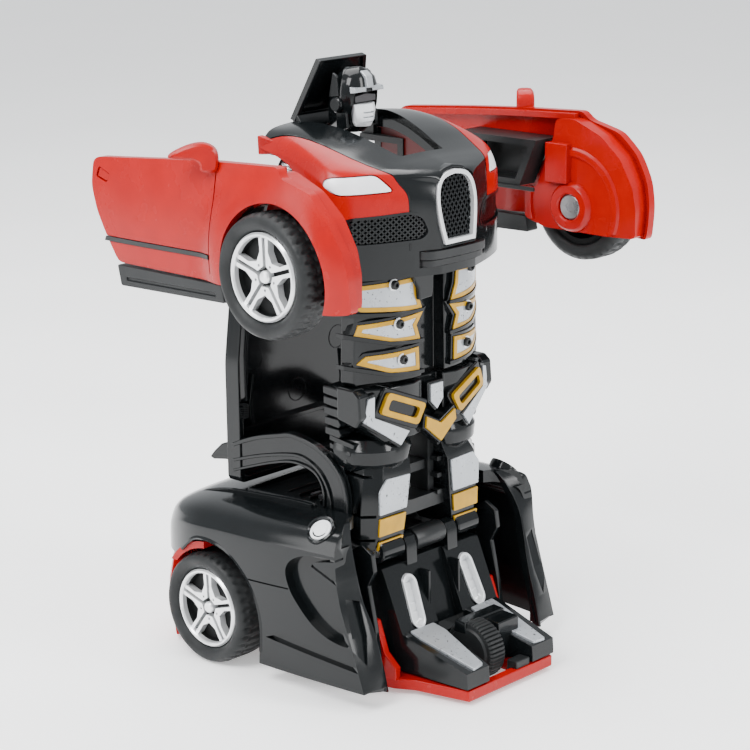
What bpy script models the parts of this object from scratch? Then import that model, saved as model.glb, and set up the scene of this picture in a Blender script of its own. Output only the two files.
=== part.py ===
"""Transforming robot car, standing as a robot on its rear car body.

Drawing units are millimetres: +X is the robot's front, +Y its left, +Z up, z = 0 the floor.
Every object is written in metres, with the origin under the middle of the bounding box.
The pieces that move have their origin on their joint's axis.
"""
import math

import bmesh
import bpy
from mathutils import Vector

MM = 0.001
X_MID = 8.65           # drawing x that becomes x = 0
GAP = 0.3              # space between pieces that touch

# ---- driving dimensions -------------------------------------------------------------------
WHEEL_R = 12.3         # tyre radius
RIM_R = 8.7
REAR_AXLE = (-8.2, WHEEL_R)            # x, z of the rear axle
REAR_FACE_Y = 32.7                     # outer face of the rear wheels
FRONT_HUB = (31.6, 94.2)               # x, z of the front wheels, carried by the arms
FRONT_FACE_Y = 51.0
FOLD_AXIS = (26.0, 28.5)               # x, z of the hinge at the feet
CHEST_AXIS = (14.6, 95.7)              # x, z of the pin between torso and chest
ROOF_AXIS = (3.5, 32.5)
FLAP_AXIS = (0.6, 114.6)
SUPPORT_AXLE = (40.9, 6.5)
SUPPORT_R = 6.5
ARM_PIN = (4.5, 15.5)                  # x, |y| of the sprung pin in the chest
ELBOW_PIN = (6.0, 40.0)                # x, |y| of the pin in the arm
PIN_R = 1.25
MODULE = 0.5                           # gear module
AXLE_TEETH, IDLER_PINION, IDLER_TEETH, FLY_PINION = 26, 12, 28, 8
TRAIN_ANGLE = math.radians(20)         # both gear steps climb at this angle
MESH_PLAY = 0.12                       # added to each gear centre distance


# ---- materials ----------------------------------------------------------------------------
def material(name, colour, roughness, metallic=0.0):
    found = bpy.data.materials.new(name)
    found.use_nodes = True
    shader = found.node_tree.nodes["Principled BSDF"]
    shader.inputs["Base Color"].default_value = (*colour, 1.0)
    shader.inputs["Roughness"].default_value = roughness
    shader.inputs["Metallic"].default_value = metallic
    return found


for old in list(bpy.data.objects):
    bpy.data.objects.remove(old)

RED = material("red_plastic", (0.72, 0.03, 0.02), 0.3)
BLACK = material("black_plastic", (0.012, 0.014, 0.016), 0.25)
SATIN = material("black_satin", (0.02, 0.023, 0.025), 0.45)
SILVER = material("silver_paint", (0.7, 0.71, 0.72), 0.3, 0.6)
CHROME = material("chrome_rim", (0.85, 0.85, 0.86), 0.12, 1.0)
RUBBER = material("tyre", (0.025, 0.027, 0.028), 0.75)
STEEL = material("steel", (0.5, 0.5, 0.5), 0.3, 1.0)
GEAR = material("gear_plastic", (0.75, 0.73, 0.65), 0.5)
MOTOR = material("motor_case", (0.1, 0.1, 0.11), 0.5)


# ---- building blocks ----------------------------------------------------------------------
def finish(name, bm, surface, pivot=(0.0, 0.0, 0.0), smooth=False):
    """Turn millimetre geometry into an object whose origin is the pivot."""
    bmesh.ops.remove_doubles(bm, verts=bm.verts, dist=0.0005)
    bmesh.ops.recalc_face_normals(bm, faces=bm.faces)
    for vert in bm.verts:
        vert.co = (vert.co - Vector(pivot)) * MM
    mesh = bpy.data.meshes.new(name)
    bm.to_mesh(mesh)
    bm.free()
    made = bpy.data.objects.new(name, mesh)
    made.location = Vector((pivot[0] - X_MID, pivot[1], pivot[2])) * MM
    made.data.materials.append(surface)
    bpy.context.collection.objects.link(made)
    if smooth:
        mesh.shade_smooth()
        mesh.set_sharp_from_angle(angle=math.radians(35))
    return made


def loft(rings, closed=False):
    """Skin equal rings of points; the first and last are capped unless the loft is closed."""
    bm = bmesh.new()
    loops = [[bm.verts.new(point) for point in ring] for ring in rings]
    pairs = list(zip(loops, loops[1:]))
    if closed:
        pairs.append((loops[-1], loops[0]))
    for near, far in pairs:
        count = len(near)
        for i in range(count):
            j = (i + 1) % count
            bm.faces.new((near[i], near[j], far[j], far[i]))
    if not closed:
        bm.faces.new(loops[0])
        bm.faces.new(loops[-1])
    return bm


def prism(outline, low, high, plane="XZ"):
    """Extrude an outline: XZ along y, XY along z, YZ along x."""
    order = {"XZ": lambda a, b, c: (a, c, b), "XY": lambda a, b, c: (a, b, c),
             "YZ": lambda a, b, c: (c, a, b)}[plane]
    return loft([[order(a, b, c) for a, b in outline] for c in (low, high)])


def box(x, y, z):
    return prism([(x[0], y[0]), (x[1], y[0]), (x[1], y[1]), (x[0], y[1])], z[0], z[1], "XY")


def turned(profile, centre, axis="Y", steps=24, closed=False):
    """Turn (radius, distance along the axis) points about an axis through centre."""
    bm = bmesh.new()
    rows = []
    for radius, along in profile:
        row = []
        for k in range(steps if radius > 0 else 1):
            turn = 2 * math.pi * k / steps
            a, b = radius * math.cos(turn), radius * math.sin(turn)
            shift = {"Y": (a, along, b), "Z": (a, b, along), "X": (along, a, b)}[axis]
            row.append(bm.verts.new([c + s for c, s in zip(centre, shift)]))
        rows.append(row)
    pairs = list(zip(rows, rows[1:]))
    if closed:
        pairs.append((rows[-1], rows[0]))
    for near, far in pairs:
        for k in range(steps):
            m = (k + 1) % steps
            if len(near) == 1:
                bm.faces.new((near[0], far[k], far[m]))
            elif len(far) == 1:
                bm.faces.new((near[k], near[m], far[0]))
            else:
                bm.faces.new((near[k], near[m], far[m], far[k]))
    return bm


def rod(x, z, low, high, radius, steps=16):
    """A cylinder along y."""
    return turned([(0, low), (radius, low), (radius, high), (0, high)], (x, 0, z), "Y", steps)


def post(x, y, low, high, radius, steps=16):
    """A cylinder along z."""
    return turned([(0, low), (radius, low), (radius, high), (0, high)], (x, y, 0), "Z", steps)


def combine(target, bm, operation):
    """Boolean a millimetre bmesh with an object, and keep the result as its mesh."""
    other = finish("cutter", bm, target.data.materials[0])
    modifier = target.modifiers.new("combine", "BOOLEAN")
    modifier.operation = operation
    modifier.object = other
    graph = bpy.context.evaluated_depsgraph_get()
    mesh = bpy.data.meshes.new_from_object(target.evaluated_get(graph))
    target.modifiers.clear()
    bm = bmesh.new()
    bm.from_mesh(mesh)
    bmesh.ops.remove_doubles(bm, verts=bm.verts, dist=0.002 * MM)
    bm.to_mesh(mesh)
    bm.free()
    target.data = mesh
    bpy.data.objects.remove(other)
    return target


def cut(target, *tools):
    for tool in tools:
        combine(target, tool, "DIFFERENCE")
    return target


def fuse(target, *tools):
    for tool in tools:
        combine(target, tool, "UNION")
    return target


def keep(target, *tools):
    for tool in tools:
        combine(target, tool, "INTERSECT")
    return target


def sided(side, low, high):
    """A y range given outward from the middle, on the left (+1) or right (-1)."""
    return (low, high) if side > 0 else (-high, -low)


def mirrored(points):
    """Complete a half outline given at y >= 0 with its mirror image."""
    return points + [(x, -y) for x, y in reversed(points)]


def section(x, width, top, bottom, drop=1.0):
    """Half-round car body section at x, from the left sill over the top to the right sill."""
    half = [(width, bottom), (width, top - 9 * drop), (width - 0.6, top - 6 * drop),
            (width - 2.4, top - 3.4 * drop), (width * 0.76, top - 1.4 * drop),
            (width * 0.45, top - 0.4 * drop)]
    return [(x, y, z) for y, z in half] + [(x, 0, top)] + [(x, -y, z) for y, z in reversed(half)]


# ---- base: chassis, rear shell, feet ------------------------------------------------------
def chassis_tray():
    """Red floor of the car, with the bumper standing up at its tail."""
    plate = mirrored([(-31, 14), (-27, 19.4), (30.5, 19.4), (34, 18.6), (38, 16.4), (50.5, 13.8)])
    tray = finish("chassis_tray", prism(plate, 1.0, 3.4, "XY"), RED)
    tail = [(-30.0, 0), (-29.4, 9), (-26.5, 18), (-20.5, 27.0), (-21.8, 28.2), (-28.4, 19),
            (-31.6, 9.6), (-32.2, 0)]
    bumper = tail + [(x, -y) for x, y in tail[-2:0:-1]]
    fuse(tray, prism(bumper, 1.6, 15.6, "XY"))
    fuse(tray, prism([(24.2, 3), (31.6, 3), (27.2, 14.8), (24.2, 14.8)], 16.6, 18.2))
    fuse(tray, prism([(24.2, 3), (31.6, 3), (27.2, 14.8), (24.2, 14.8)], -18.2, -16.6))
    cut(tray, box((33.4, 48.4), (-4.7, 4.7), (0, 6)))
    return tray


SHELL_STATIONS = [
    (-33.2, 15.0, 24.0, 12.0), (-31.6, 19.5, 28.0, 11.0), (-28.0, 24.5, 31.4, 10.0),
    (-22.0, 29.0, 34.2, 7.0), (-14.0, 31.9, 36.0, 4.2), (-4.0, 32.7, 37.0, 4.2),
    (8.0, 32.8, 37.6, 4.2), (20.0, 32.2, 38.2, 4.2), (30.0, 31.4, 38.4, 4.2),
    (38.0, 30.6, 38.4, 4.2)]
SHUT_LINE = [(22.6, 42), (23.6, 37.8), (27.0, 29.3), (31.0, 15.0), (34.0, 7.0), (36.0, 3.0)]


def rear_shell():
    """Glossy rear car body: hollow, open below, above the legs and round the wheels."""
    shell = finish("rear_shell", loft([section(*s, 1.0) for s in SHELL_STATIONS]), BLACK)
    inner = [(x + (1.8 if i == 0 else 0), w - 1.8, t - 1.8, b - 6)
             for i, (x, w, t, b) in enumerate(SHELL_STATIONS[:-3])]
    inner.append((19.0, 30.4, 36.2, -2))
    cut(shell, loft([section(*s, 1.0) for s in inner]))
    cut(shell, prism(SHUT_LINE + [(60, 3), (60, 42)], -50, 50))
    cut(shell, box((-8.6, 60), (-20.9, 20.9), (-5, 60)))
    cut(shell, prism([(-40, -2), (-16, -2), (-16, 17.5), (-24, 18.6), (-40, 16.4)], -50, 50))
    for side in (1, -1):
        low, high = sided(side, 22.4, 50)
        cut(shell, rod(*REAR_AXLE, low, high, 14.2, 28))
        low, high = sided(side, 28.0, 50)
        cut(shell, rod(25.4, 31.6, low, high, 3.0, 16))
    return shell


def foot_block():
    """Sloped foot moulding with two toes, a slot for the support wheel and hinge lugs."""
    plan = mirrored([(19.5, 15.2), (33.0, 15.2), (50.4, 14.0)])
    foot = finish("foot_block", prism(plan, 3.8, 25.0, "XY"), BLACK)
    keep(foot, prism([(19.0, 3.7), (19.0, 25.2), (28.2, 25.2), (33.4, 11.8), (50.2, 7.2),
                      (50.5, 3.7)], -16, 16))
    cut(foot, prism([(26.6, 26), (31.6, 10.5), (34.5, 8.5), (40, 30), (28, 30)], -4.8, 4.8))
    cut(foot, prism(mirrored([(33.6, 5.6), (52, 7.6)]), 2, 30, "XY"))
    fuse(foot, box((41.4, 44.4), (3.4, 8.2), (3.8, 12.2)))
    x, z = FOLD_AXIS
    for side in (1, -1):
        low, high = sided(side, 4.9, 8.0)
        fuse(foot, prism([(x - 2.6, 24.4), (x + 2.2, 24.4), (x + 2.2, z), (x, z + 2.2),
                          (x - 2.6, z)], low, high))
    cut(foot, rod(x, z, -20, 20, PIN_R + GAP))
    cut(foot, rod(*SUPPORT_AXLE, -9.0, 9.0, 1.2))
    return foot


def rear_caps():
    """Round silver filler caps let into the rear body's shoulders."""
    for side, name in ((1, "filler_cap_left"), (-1, "filler_cap_right")):
        low, high = sided(side, 28.4, 31.2)
        finish(name, rod(25.4, 31.6, low, high, 2.6, 20), SILVER, smooth=True)


# ---- friction motor -----------------------------------------------------------------------
def gear_outline(teeth, phase):
    """Short-toothed spur gear with a tooth centred at the phase angle."""
    pitch_r = MODULE * teeth / 2
    points = []
    for k in range(teeth):
        centre = phase + 2 * math.pi * k / teeth
        half = math.pi / teeth
        for radius, share in ((pitch_r - 0.55, -0.60), (pitch_r + 0.36, -0.24),
                              (pitch_r + 0.36, 0.24), (pitch_r - 0.55, 0.60)):
            turn = centre + half * share
            points.append((radius * math.cos(turn), radius * math.sin(turn)))
    return points


def gear(teeth, phase, centre, low, high):
    """Gear between two y values, about an axis given as x, z."""
    outline = [(centre[0] + a, centre[1] + b) for a, b in gear_outline(teeth, phase)]
    return prism(outline, low, high)


def train_step(start, teeth_a, teeth_b):
    """Axis of the next gear in the train."""
    reach = MODULE * (teeth_a + teeth_b) / 2 + MESH_PLAY
    return (start[0] + reach * math.cos(TRAIN_ANGLE), start[1] + reach * math.sin(TRAIN_ANGLE))


IDLER_AXIS = train_step(REAR_AXLE, AXLE_TEETH, IDLER_PINION)
FLYWHEEL_AXIS = train_step(IDLER_AXIS, IDLER_TEETH, FLY_PINION)


def facing(teeth):
    """Phase that puts a tooth gap towards the gear before it in the train."""
    return TRAIN_ANGLE + math.pi + math.pi / teeth


def gear_train():
    """Gears step up from the rear axle to a heavy flywheel."""
    pivot = (REAR_AXLE[0], 0, REAR_AXLE[1])
    drive = finish("axle_gear", gear(AXLE_TEETH, TRAIN_ANGLE, REAR_AXLE, -2.0, 1.0), GEAR, pivot)
    cut(drive, rod(*REAR_AXLE, -5, 5, PIN_R + GAP))
    pivot = (IDLER_AXIS[0], 0, IDLER_AXIS[1])
    idler = finish("idler_gear", gear(IDLER_TEETH, TRAIN_ANGLE, IDLER_AXIS, 1.6, 4.0), GEAR, pivot)
    fuse(idler, gear(IDLER_PINION, facing(IDLER_PINION), IDLER_AXIS, -2.2, 1.8))
    fuse(idler, rod(*IDLER_AXIS, -9.8, 9.8, 1.0, 12))
    pivot = (FLYWHEEL_AXIS[0], 0, FLYWHEEL_AXIS[1])
    disc = finish("flywheel", rod(*FLYWHEEL_AXIS, -7.6, -2.8, 6.4, 32), STEEL, pivot, smooth=True)
    fuse(disc, gear(FLY_PINION, facing(FLY_PINION), FLYWHEEL_AXIS, 1.4, 4.2))
    fuse(disc, rod(*FLYWHEEL_AXIS, -9.8, 9.8, 0.9, 12))


def gearbox():
    """Two half cases that hold the three shafts and carry the roof's hinge pin."""
    x, z = ROOF_AXIS
    outline = [(-17.4, 3.8), (18.4, 3.8), (18.4, 24.6), (15.4, 26.6), (-2, 26.6), (-17.4, 21.4)]
    pocket = [(-16.2, 5.0), (17.2, 5.0), (17.2, 24.0), (15.0, 25.4), (-1.8, 25.4), (-16.2, 20.6)]
    for side, name in ((1, "gearbox_left"), (-1, "gearbox_right")):
        low, high = sided(side, 0.15, 10.8)
        case = finish(name, prism(outline, low, high), MOTOR)
        low, high = sided(side, -1.0, 9.4)
        cut(case, prism(pocket, low, high))
        low, high = sided(side, 7.0, 9.6)
        fuse(case, prism([(x - 2.4, 26.0), (x + 2.4, 26.0), (x + 2.0, z + 2.4),
                          (x - 2.0, z + 2.4)], low, high))
        cut(case, rod(x, z, -15, 15, 1.0 + GAP), rod(*REAR_AXLE, -15, 15, PIN_R + GAP))
        cut(case, rod(*IDLER_AXIS, -10.2, 10.2, 1.3), rod(*FLYWHEEL_AXIS, -10.2, 10.2, 1.2))


def wheel(tag, x, z, face, width, side, bore, bore_depth):
    """Rim and tyre; the rim's hub takes the axle in a blind bore."""
    def out(inward):
        return side * (face - inward)
    pivot = (x, out(4), z)
    rim = turned([(0, out(0.3)), (1.6, out(0.3)), (RIM_R - 1.4, out(0.9)), (RIM_R - 0.9, out(0)),
                  (RIM_R, out(0)), (RIM_R, out(width)), (RIM_R - 1.2, out(width)),
                  (RIM_R - 1.6, out(3.2)), (3.2, out(2.6)), (3.2, out(width - 0.6)),
                  (bore, out(width - 0.6)), (bore, out(bore_depth)), (0, out(bore_depth))],
                 (x, 0, z), "Y", 32)
    finish(f"{tag}_rim", rim, CHROME, pivot, smooth=True)
    tyre = turned([(RIM_R + GAP, out(0.5)), (WHEEL_R - 1.2, out(0)), (WHEEL_R, out(1.2)),
                   (WHEEL_R, out(width - 0.8)), (WHEEL_R - 1.2, out(width + 0.4)),
                   (RIM_R + GAP, out(width))], (x, 0, z), "Y", 36, closed=True)
    finish(f"{tag}_tyre", tyre, RUBBER, pivot, smooth=True)


def running_gear():
    x, z = REAR_AXLE
    finish("rear_axle", rod(x, z, -30.2, 30.2, PIN_R, 16), STEEL, (x, 0, z), smooth=True)
    wheel("rear_left", x, z, REAR_FACE_Y, 9.0, 1, PIN_R + GAP, 2.2)
    wheel("rear_right", x, z, REAR_FACE_Y, 9.0, -1, PIN_R + GAP, 2.2)
    x, z = SUPPORT_AXLE
    finish("support_axle", rod(x, z, -8.4, 8.4, 0.9, 12), STEEL, (x, 0, z), smooth=True)
    roller = turned([(1.2, -3.4), (SUPPORT_R - 0.5, -3.4), (SUPPORT_R, -2.9), (SUPPORT_R, 2.0),
                     (SUPPORT_R - 0.5, 2.5), (1.2, 2.5)], (x, 0, z), "Y", 28, closed=True)
    finish("support_wheel", roller, RUBBER, (x, 0, z), smooth=True)


# ---- roof ---------------------------------------------------------------------------------
def roof():
    """Tray-shaped roof standing behind the legs, on two curved arms that reach its pin."""
    x, z = ROOF_AXIS
    outline = mirrored([(20.2, 37.8), (20.2, 64), (17.6, 84.4)])
    plan = [(y, height) for y, height in outline[:3]] + [(-y, height) for y, height in
                                                          reversed(outline[:3])]
    panel = finish("roof_panel", prism(plan, -13.4, -9.3, "YZ"), BLACK, (x, 0, z))
    inside = [(18.8, 39.2), (18.8, 64), (16.3, 83.0), (-16.3, 83.0), (-18.8, 64), (-18.8, 39.2)]
    cut(panel, prism(inside, -11.9, -8, "YZ"))
    fuse(panel, prism([(-13.0, 41.0), (-13.0, 45.6), (-16.5, 44.6), (-21.0, 41.2), (-20.6, 40.6)],
                      -17.0, 17.0))
    centre, reach, depth = (7.2, 36.0), 15.5, 3.0
    turns = [math.radians(150 - 12 * k) for k in range(13)]
    outer = [(centre[0] + reach * math.cos(t), centre[1] + reach * math.sin(t)) for t in turns]
    inner = [(centre[0] + (reach - depth) * math.cos(t), centre[1] + (reach - depth) * math.sin(t))
             for t in turns]
    strip = outer + [(x, z - 2.2), (x - 2.4, z), (x, z + 2.2)] + list(reversed(inner[:-1]))
    for side in (1, -1):
        low, high = sided(side, 18.8, 20.2)
        fuse(panel, prism(strip, low, high))
        fuse(panel, box((-12.2, -5.0), sided(side, 18.8, 20.2), (41.6, 47.2)))
    cut(panel, rod(x, z, -25, 25, 1.0 + GAP))
    finish("roof_pin", rod(x, z, -20.6, 20.6, 1.0, 12), STEEL, (x, 0, z), smooth=True)


# ---- torso and legs -----------------------------------------------------------------------
def leg(side, name):
    """One leg, with the hinge knuckle at its foot."""
    x, z = FOLD_AXIS

    def ring(height, inner, outer, front, back):
        corner = 1.6
        return [(front, side * (inner + 0.2), height), (front, side * (outer - 5.5), height),
                (front - 4.5, side * outer, height), (back + corner, side * outer, height),
                (back, side * (outer - corner), height), (back, side * (inner + 0.2), height)]
    rings = [ring(29.2, 8.3, 18.0, 26.9, 16.0), ring(37.5, 7.2, 18.4, 27.4, 14.6),
             ring(44.5, 6.3, 17.6, 27.6, 14.2), ring(51.4, 5.6, 17.0, 26.2, 15.2)]
    made = finish(name, loft(rings), BLACK, (x, 0, z))
    low, high = sided(side, 8.7, 15.0)
    fuse(made, rod(x, z, low, high, 2.5, 16))
    cut(made, rod(x, z, -25, 25, PIN_R + GAP))
    return made


def torso():
    x, z = FOLD_AXIS
    pivot = (x, 0, z)
    leg(1, "leg_left")
    leg(-1, "leg_right")
    bridge = finish("leg_bridge", box((17.6, 25.4), (-6.9, 6.9), (34.0, 37.0)), SATIN, pivot)
    fuse(bridge, box((17.6, 24.0), (-5.3, -3.4), (34.0, 50.6)),
         box((17.6, 24.0), (3.4, 5.3), (34.0, 50.6)),
         box((18.6, 23.2), (-5.0, 5.0), (42.0, 44.0)))
    half = [(29.4, 4.0), (30.6, 6.6), (29.0, 15.0), (26.4, 20.0), (20.6, 21.4), (17.4, 19.0),
            (17.4, 0.1)]
    hips = [(a, b) for a, b in half[:-1]]
    outline = mirrored(hips)
    waist = finish("waist_block", prism(outline, 51.8, 64.4, "XY"), BLACK, pivot)
    for side in (1, -1):
        low, high = sided(side, 6.0, 30)
        cut(waist, prism([(10, 51), (40, 51), (40, 53.4), (30.0, 51.2)], low, high))
        corner = [(side * 12.0, 51.0), (side * 22.5, 51.0), (side * 22.5, 59.5)]
        cut(waist, prism(corner, 10, 40, "YZ"))
    fuse(waist, prism([(0, 50.2), (5.6, 54.0), (3.6, 57.4), (-3.6, 57.4), (-5.6, 54.0)],
                      28.6, 31.2, "YZ"))

    def chest_ring(height, front, side_x, back):
        half = [(front, 4.2), (front - 1.2, 11.4), (side_x + 1.8, 17.4), (side_x - 3.0, 18.8),
                (back, 17.6)]
        return [(a, b, height) for a, b in mirrored(half)]
    rings = [chest_ring(64.8, 30.6, 24.0, 17.4), chest_ring(72.0, 29.6, 23.4, 17.4),
             chest_ring(79.0, 29.4, 23.4, 19.4), chest_ring(87.2, 29.0, 23.2, 20.0)]
    body = finish("torso_front", loft(rings), BLACK, pivot)
    cut(body, box((10, 25.6), (-15.4, 15.4), (66.6, 90)))
    back = finish("torso_back", box((20.2, 24.0), (-15.0, 15.0), (67.0, 85.6)), SATIN, pivot)
    cut(back, box((22.0, 26), (-13.4, 13.4), (68.6, 84.0)))
    px, pz = CHEST_AXIS
    for side in (1, -1):
        cheek = [(20.4, 81.0), (23.8, 84.0), (23.8, 87.0), (px + 2.4, pz), (px + 1.2, pz + 2.2),
                 (px - 1.2, pz + 2.2), (px - 2.4, pz), (px - 1.0, pz - 2.4)]
        low, high = sided(side, 11.0, 13.4)
        fuse(back, prism(cheek, low, high))
    cut(back, rod(px, pz, -20, 20, PIN_R + GAP))
    finish("fold_pin", rod(x, z, -15.2, 15.2, PIN_R), STEEL, pivot, smooth=True)
    coil = turned([(1.6, -4.2), (2.3, -4.2), (2.3, 4.2), (1.6, 4.2)], (x, 0, z), "Y", 16,
                  closed=True)
    finish("fold_spring", coil, STEEL, pivot, smooth=True)
    finish("chest_pin", rod(px, pz, -16.8, 16.8, PIN_R), STEEL, (px, 0, pz), smooth=True)


# ---- chest: the car's nose ----------------------------------------------------------------
NOSE_STATIONS = [
    (0.0, 21.6, 116.6, 86.0), (6.0, 22.6, 116.9, 86.0), (12.0, 23.6, 116.0, 86.0),
    (18.0, 24.6, 114.2, 86.0), (23.0, 25.0, 112.2, 86.0), (27.0, 22.6, 110.8, 86.0),
    (30.0, 18.6, 110.0, 86.0), (33.0, 12.6, 109.2, 86.0), (35.0, 7.6, 108.4, 86.0),
    (36.0, 5.0, 106.6, 86.0)]
HOOD_EDGE = [(-2, 20.2), (8, 18.2), (16, 15.4), (22, 13.0), (27, 10.8), (31, 8.6), (40, 8.6)]
HEADLIGHT = [(27.5, 104.2), (13.4, 105.0), (15.6, 108.6), (27.5, 108.4)]
GRILLE_ARCH = [(4.6, 93.7), (5.6, 98.0), (6.1, 102.5), (5.4, 106.0), (3.4, 108.0), (0.0, 108.7)]


def grow(points, by):
    """Push an outline's points away from its centre."""
    cx = sum(p[0] for p in points) / len(points)
    cy = sum(p[1] for p in points) / len(points)
    grown = []
    for a, b in points:
        length = math.hypot(a - cx, b - cy)
        grown.append((a + (a - cx) / length * by, b + (b - cy) / length * by))
    return grown


def nose(name, surface):
    """Hollow nose of the car, open below, behind and at the sides over the wheels."""
    px, pz = CHEST_AXIS
    shell = finish(name, loft([section(*s, 0.9) for s in NOSE_STATIONS]), surface, (px, 0, pz))
    inner = [(x + (-1.0 if i == 0 else 0), w - 1.7, t - 1.7, b - 4)
             for i, (x, w, t, b) in enumerate(NOSE_STATIONS[:-2])]
    cut(shell, loft([section(*s, 0.9) for s in inner]))
    side_opening = [(-5, 112.2), (3, 111.6), (12, 108.6), (17, 104.0), (19.6, 98), (20, 80),
                    (-5, 80)]
    cut(shell, prism(side_opening, -40, 40))
    cut(shell, box((-5, 45), (-40, 40), (80, 87.8)))
    cut(shell, prism(mirrored([(-2, 13.2), (24.7, 5.9)]), 104, 125, "XY"))
    return shell


def chest():
    px, pz = CHEST_AXIS
    pivot = (px, 0, pz)
    band = mirrored(HOOD_EDGE)
    arch = GRILLE_ARCH + [(-y, z) for y, z in reversed(GRILLE_ARCH[:-1])]
    hood = keep(nose("hood_panel", BLACK), prism(band, 93.4, 125, "XY"))
    cut(hood, prism(grow(arch, GAP), 28, 40, "YZ"))
    front = [(x, y + GAP) for x, y in HOOD_EDGE]
    bumper = keep(nose("lower_bumper", BLACK), box((15, 45), (-40, 40), (80, 100.2)))
    cut(bumper, prism(mirrored(front), 93.1, 125, "XY"))
    cut(bumper, box((30, 45), (-10.2, 10.2), (89.4, 93.0)))
    for side, tag in ((1, "left"), (-1, "right")):
        low, high = sided(side, 0.1, 40)
        red = keep(nose(f"nose_{tag}", RED), box((-5, 45), (low, high), (100.5, 125)))
        cut(red, prism(mirrored(front), 80, 125, "XY"))
        lamp = [(side * y, z) for y, z in HEADLIGHT]
        cut(red, prism(grow(lamp, GAP), 21.5 - GAP, 45, "YZ"))
        keep(nose(f"headlight_{tag}", SILVER), prism(lamp, 21.5, 45, "YZ"))
    grille = finish("front_grille", prism(arch, 32.6, 35.4, "YZ"), SATIN, pivot)
    cut(grille, prism(grow(arch, -1.1), 34.6, 40, "YZ"))
    lip = mirrored([(31.0, 9.6), (34.6, 9.6), (36.4, 7.0), (36.9, 0.01)])
    trigger = finish("bumper_trigger", prism(lip, 89.8, 92.6, "XY"), SATIN, (33, 0, 91))
    fuse(trigger, box((22.0, 32.0), (-2.6, 2.6), (90.0, 91.6)))
    frame = finish("chest_frame", box((18.2, 19.8), (-20.4, 20.4), (98.6, 108.4)), RED, pivot)
    fx, fz = FLAP_AXIS
    for side in (1, -1):
        fuse(frame, box((-0.6, 19.0), sided(side, 9.4, 19.4), (98.4, 99.7)),
             box((-0.6, 12.0), sided(side, 9.4, 17.5), (109.9, 111.2)),
             box((10.4, 12.0), sided(side, 9.4, 17.5), (99, 111)),
             box((11.0, 19.0), sided(side, 14.0, 16.4), (93.2, 99)),
             box((fx - 1.8, fx + 1.8), sided(side, 10.5, 11.6), (110.4, fz + 1.2)))
    ax, ay = ARM_PIN
    for side in (1, -1):
        cut(frame, post(ax, side * ay, 95, 115, 1.1 + GAP))
    cut(frame, rod(px, pz, -25, 25, PIN_R + GAP), rod(fx, fz, -20, 20, 0.7 + GAP, 12))


# ---- head ---------------------------------------------------------------------------------
def head():
    """Lid over the hood opening, with the head on its inner face, on two stub pins."""
    fx, fz = FLAP_AXIS
    pivot = (fx, 0, fz)

    def slab(height, half, x):
        return [(x, half, height), (x, -half, height), (x - 1.4, -half, height + 0.45),
                (x - 1.4, half, height + 0.45)]
    flap = finish("head_flap", loft([slab(115.6, 10.5, -0.3), slab(128.6, 7.0, 4.1)]), BLACK, pivot)
    fuse(flap, prism([(-1.4, 116.2), (0.4, 117.6), (2.0, 115.2), (1.4, 113.5), (-0.4, 113.5)],
                     -10.2, 10.2))
    fuse(flap, rod(fx, fz, -11.4, 11.4, 0.7, 10))

    def ring(height, back, front, half):
        return [(front, half * 0.55, height), (front, -half * 0.55, height),
                (front - 2.2, -half, height), (back, -half * 0.9, height),
                (back, half * 0.9, height), (front - 2.2, half, height)]
    helmet = finish("head_helmet", loft([
        ring(113.8, 2.4, 9.4, 2.8), ring(116.0, 2.6, 10.6, 4.0), ring(120.0, 3.4, 11.0, 5.0),
        ring(124.4, 4.8, 11.2, 4.8), ring(127.0, 6.0, 10.0, 3.2)]), BLACK, pivot)
    cut(helmet, prism([(9.2, 114.6), (15, 114.6), (15, 121.0), (9.2, 121.0)], -6, 6))
    face = mirrored([(9.5, 3.4), (11.2, 2.6), (11.9, 0.6)])
    finish("face_plate", prism(face, 114.9, 120.7, "XY"), SILVER, pivot)


# ---- arms ---------------------------------------------------------------------------------
FENDER = [(18.5, 90.4), (18.5, 97.4), (21.6, 97.4), (26.4, 109.2), (27.0, 112.6), (31.8, 112.5),
          (38.0, 112.0), (43.0, 110.6), (47.0, 107.0), (49.2, 101.0), (49.3, 95.0), (48.4, 88.4),
          (41.0, 88.4), (24.0, 88.4)]
DOOR = [(-14.6, 90.3), (-17.3, 95.0), (-20.5, 100.5), (-22.4, 105.5), (-22.2, 110.4),
        (-20.8, 111.3), (0.0, 113.0), (14.0, 113.9), (31.4, 114.5), (32.4, 111.8), (30.0, 92.0),
        (19.0, 90.3)]


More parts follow.
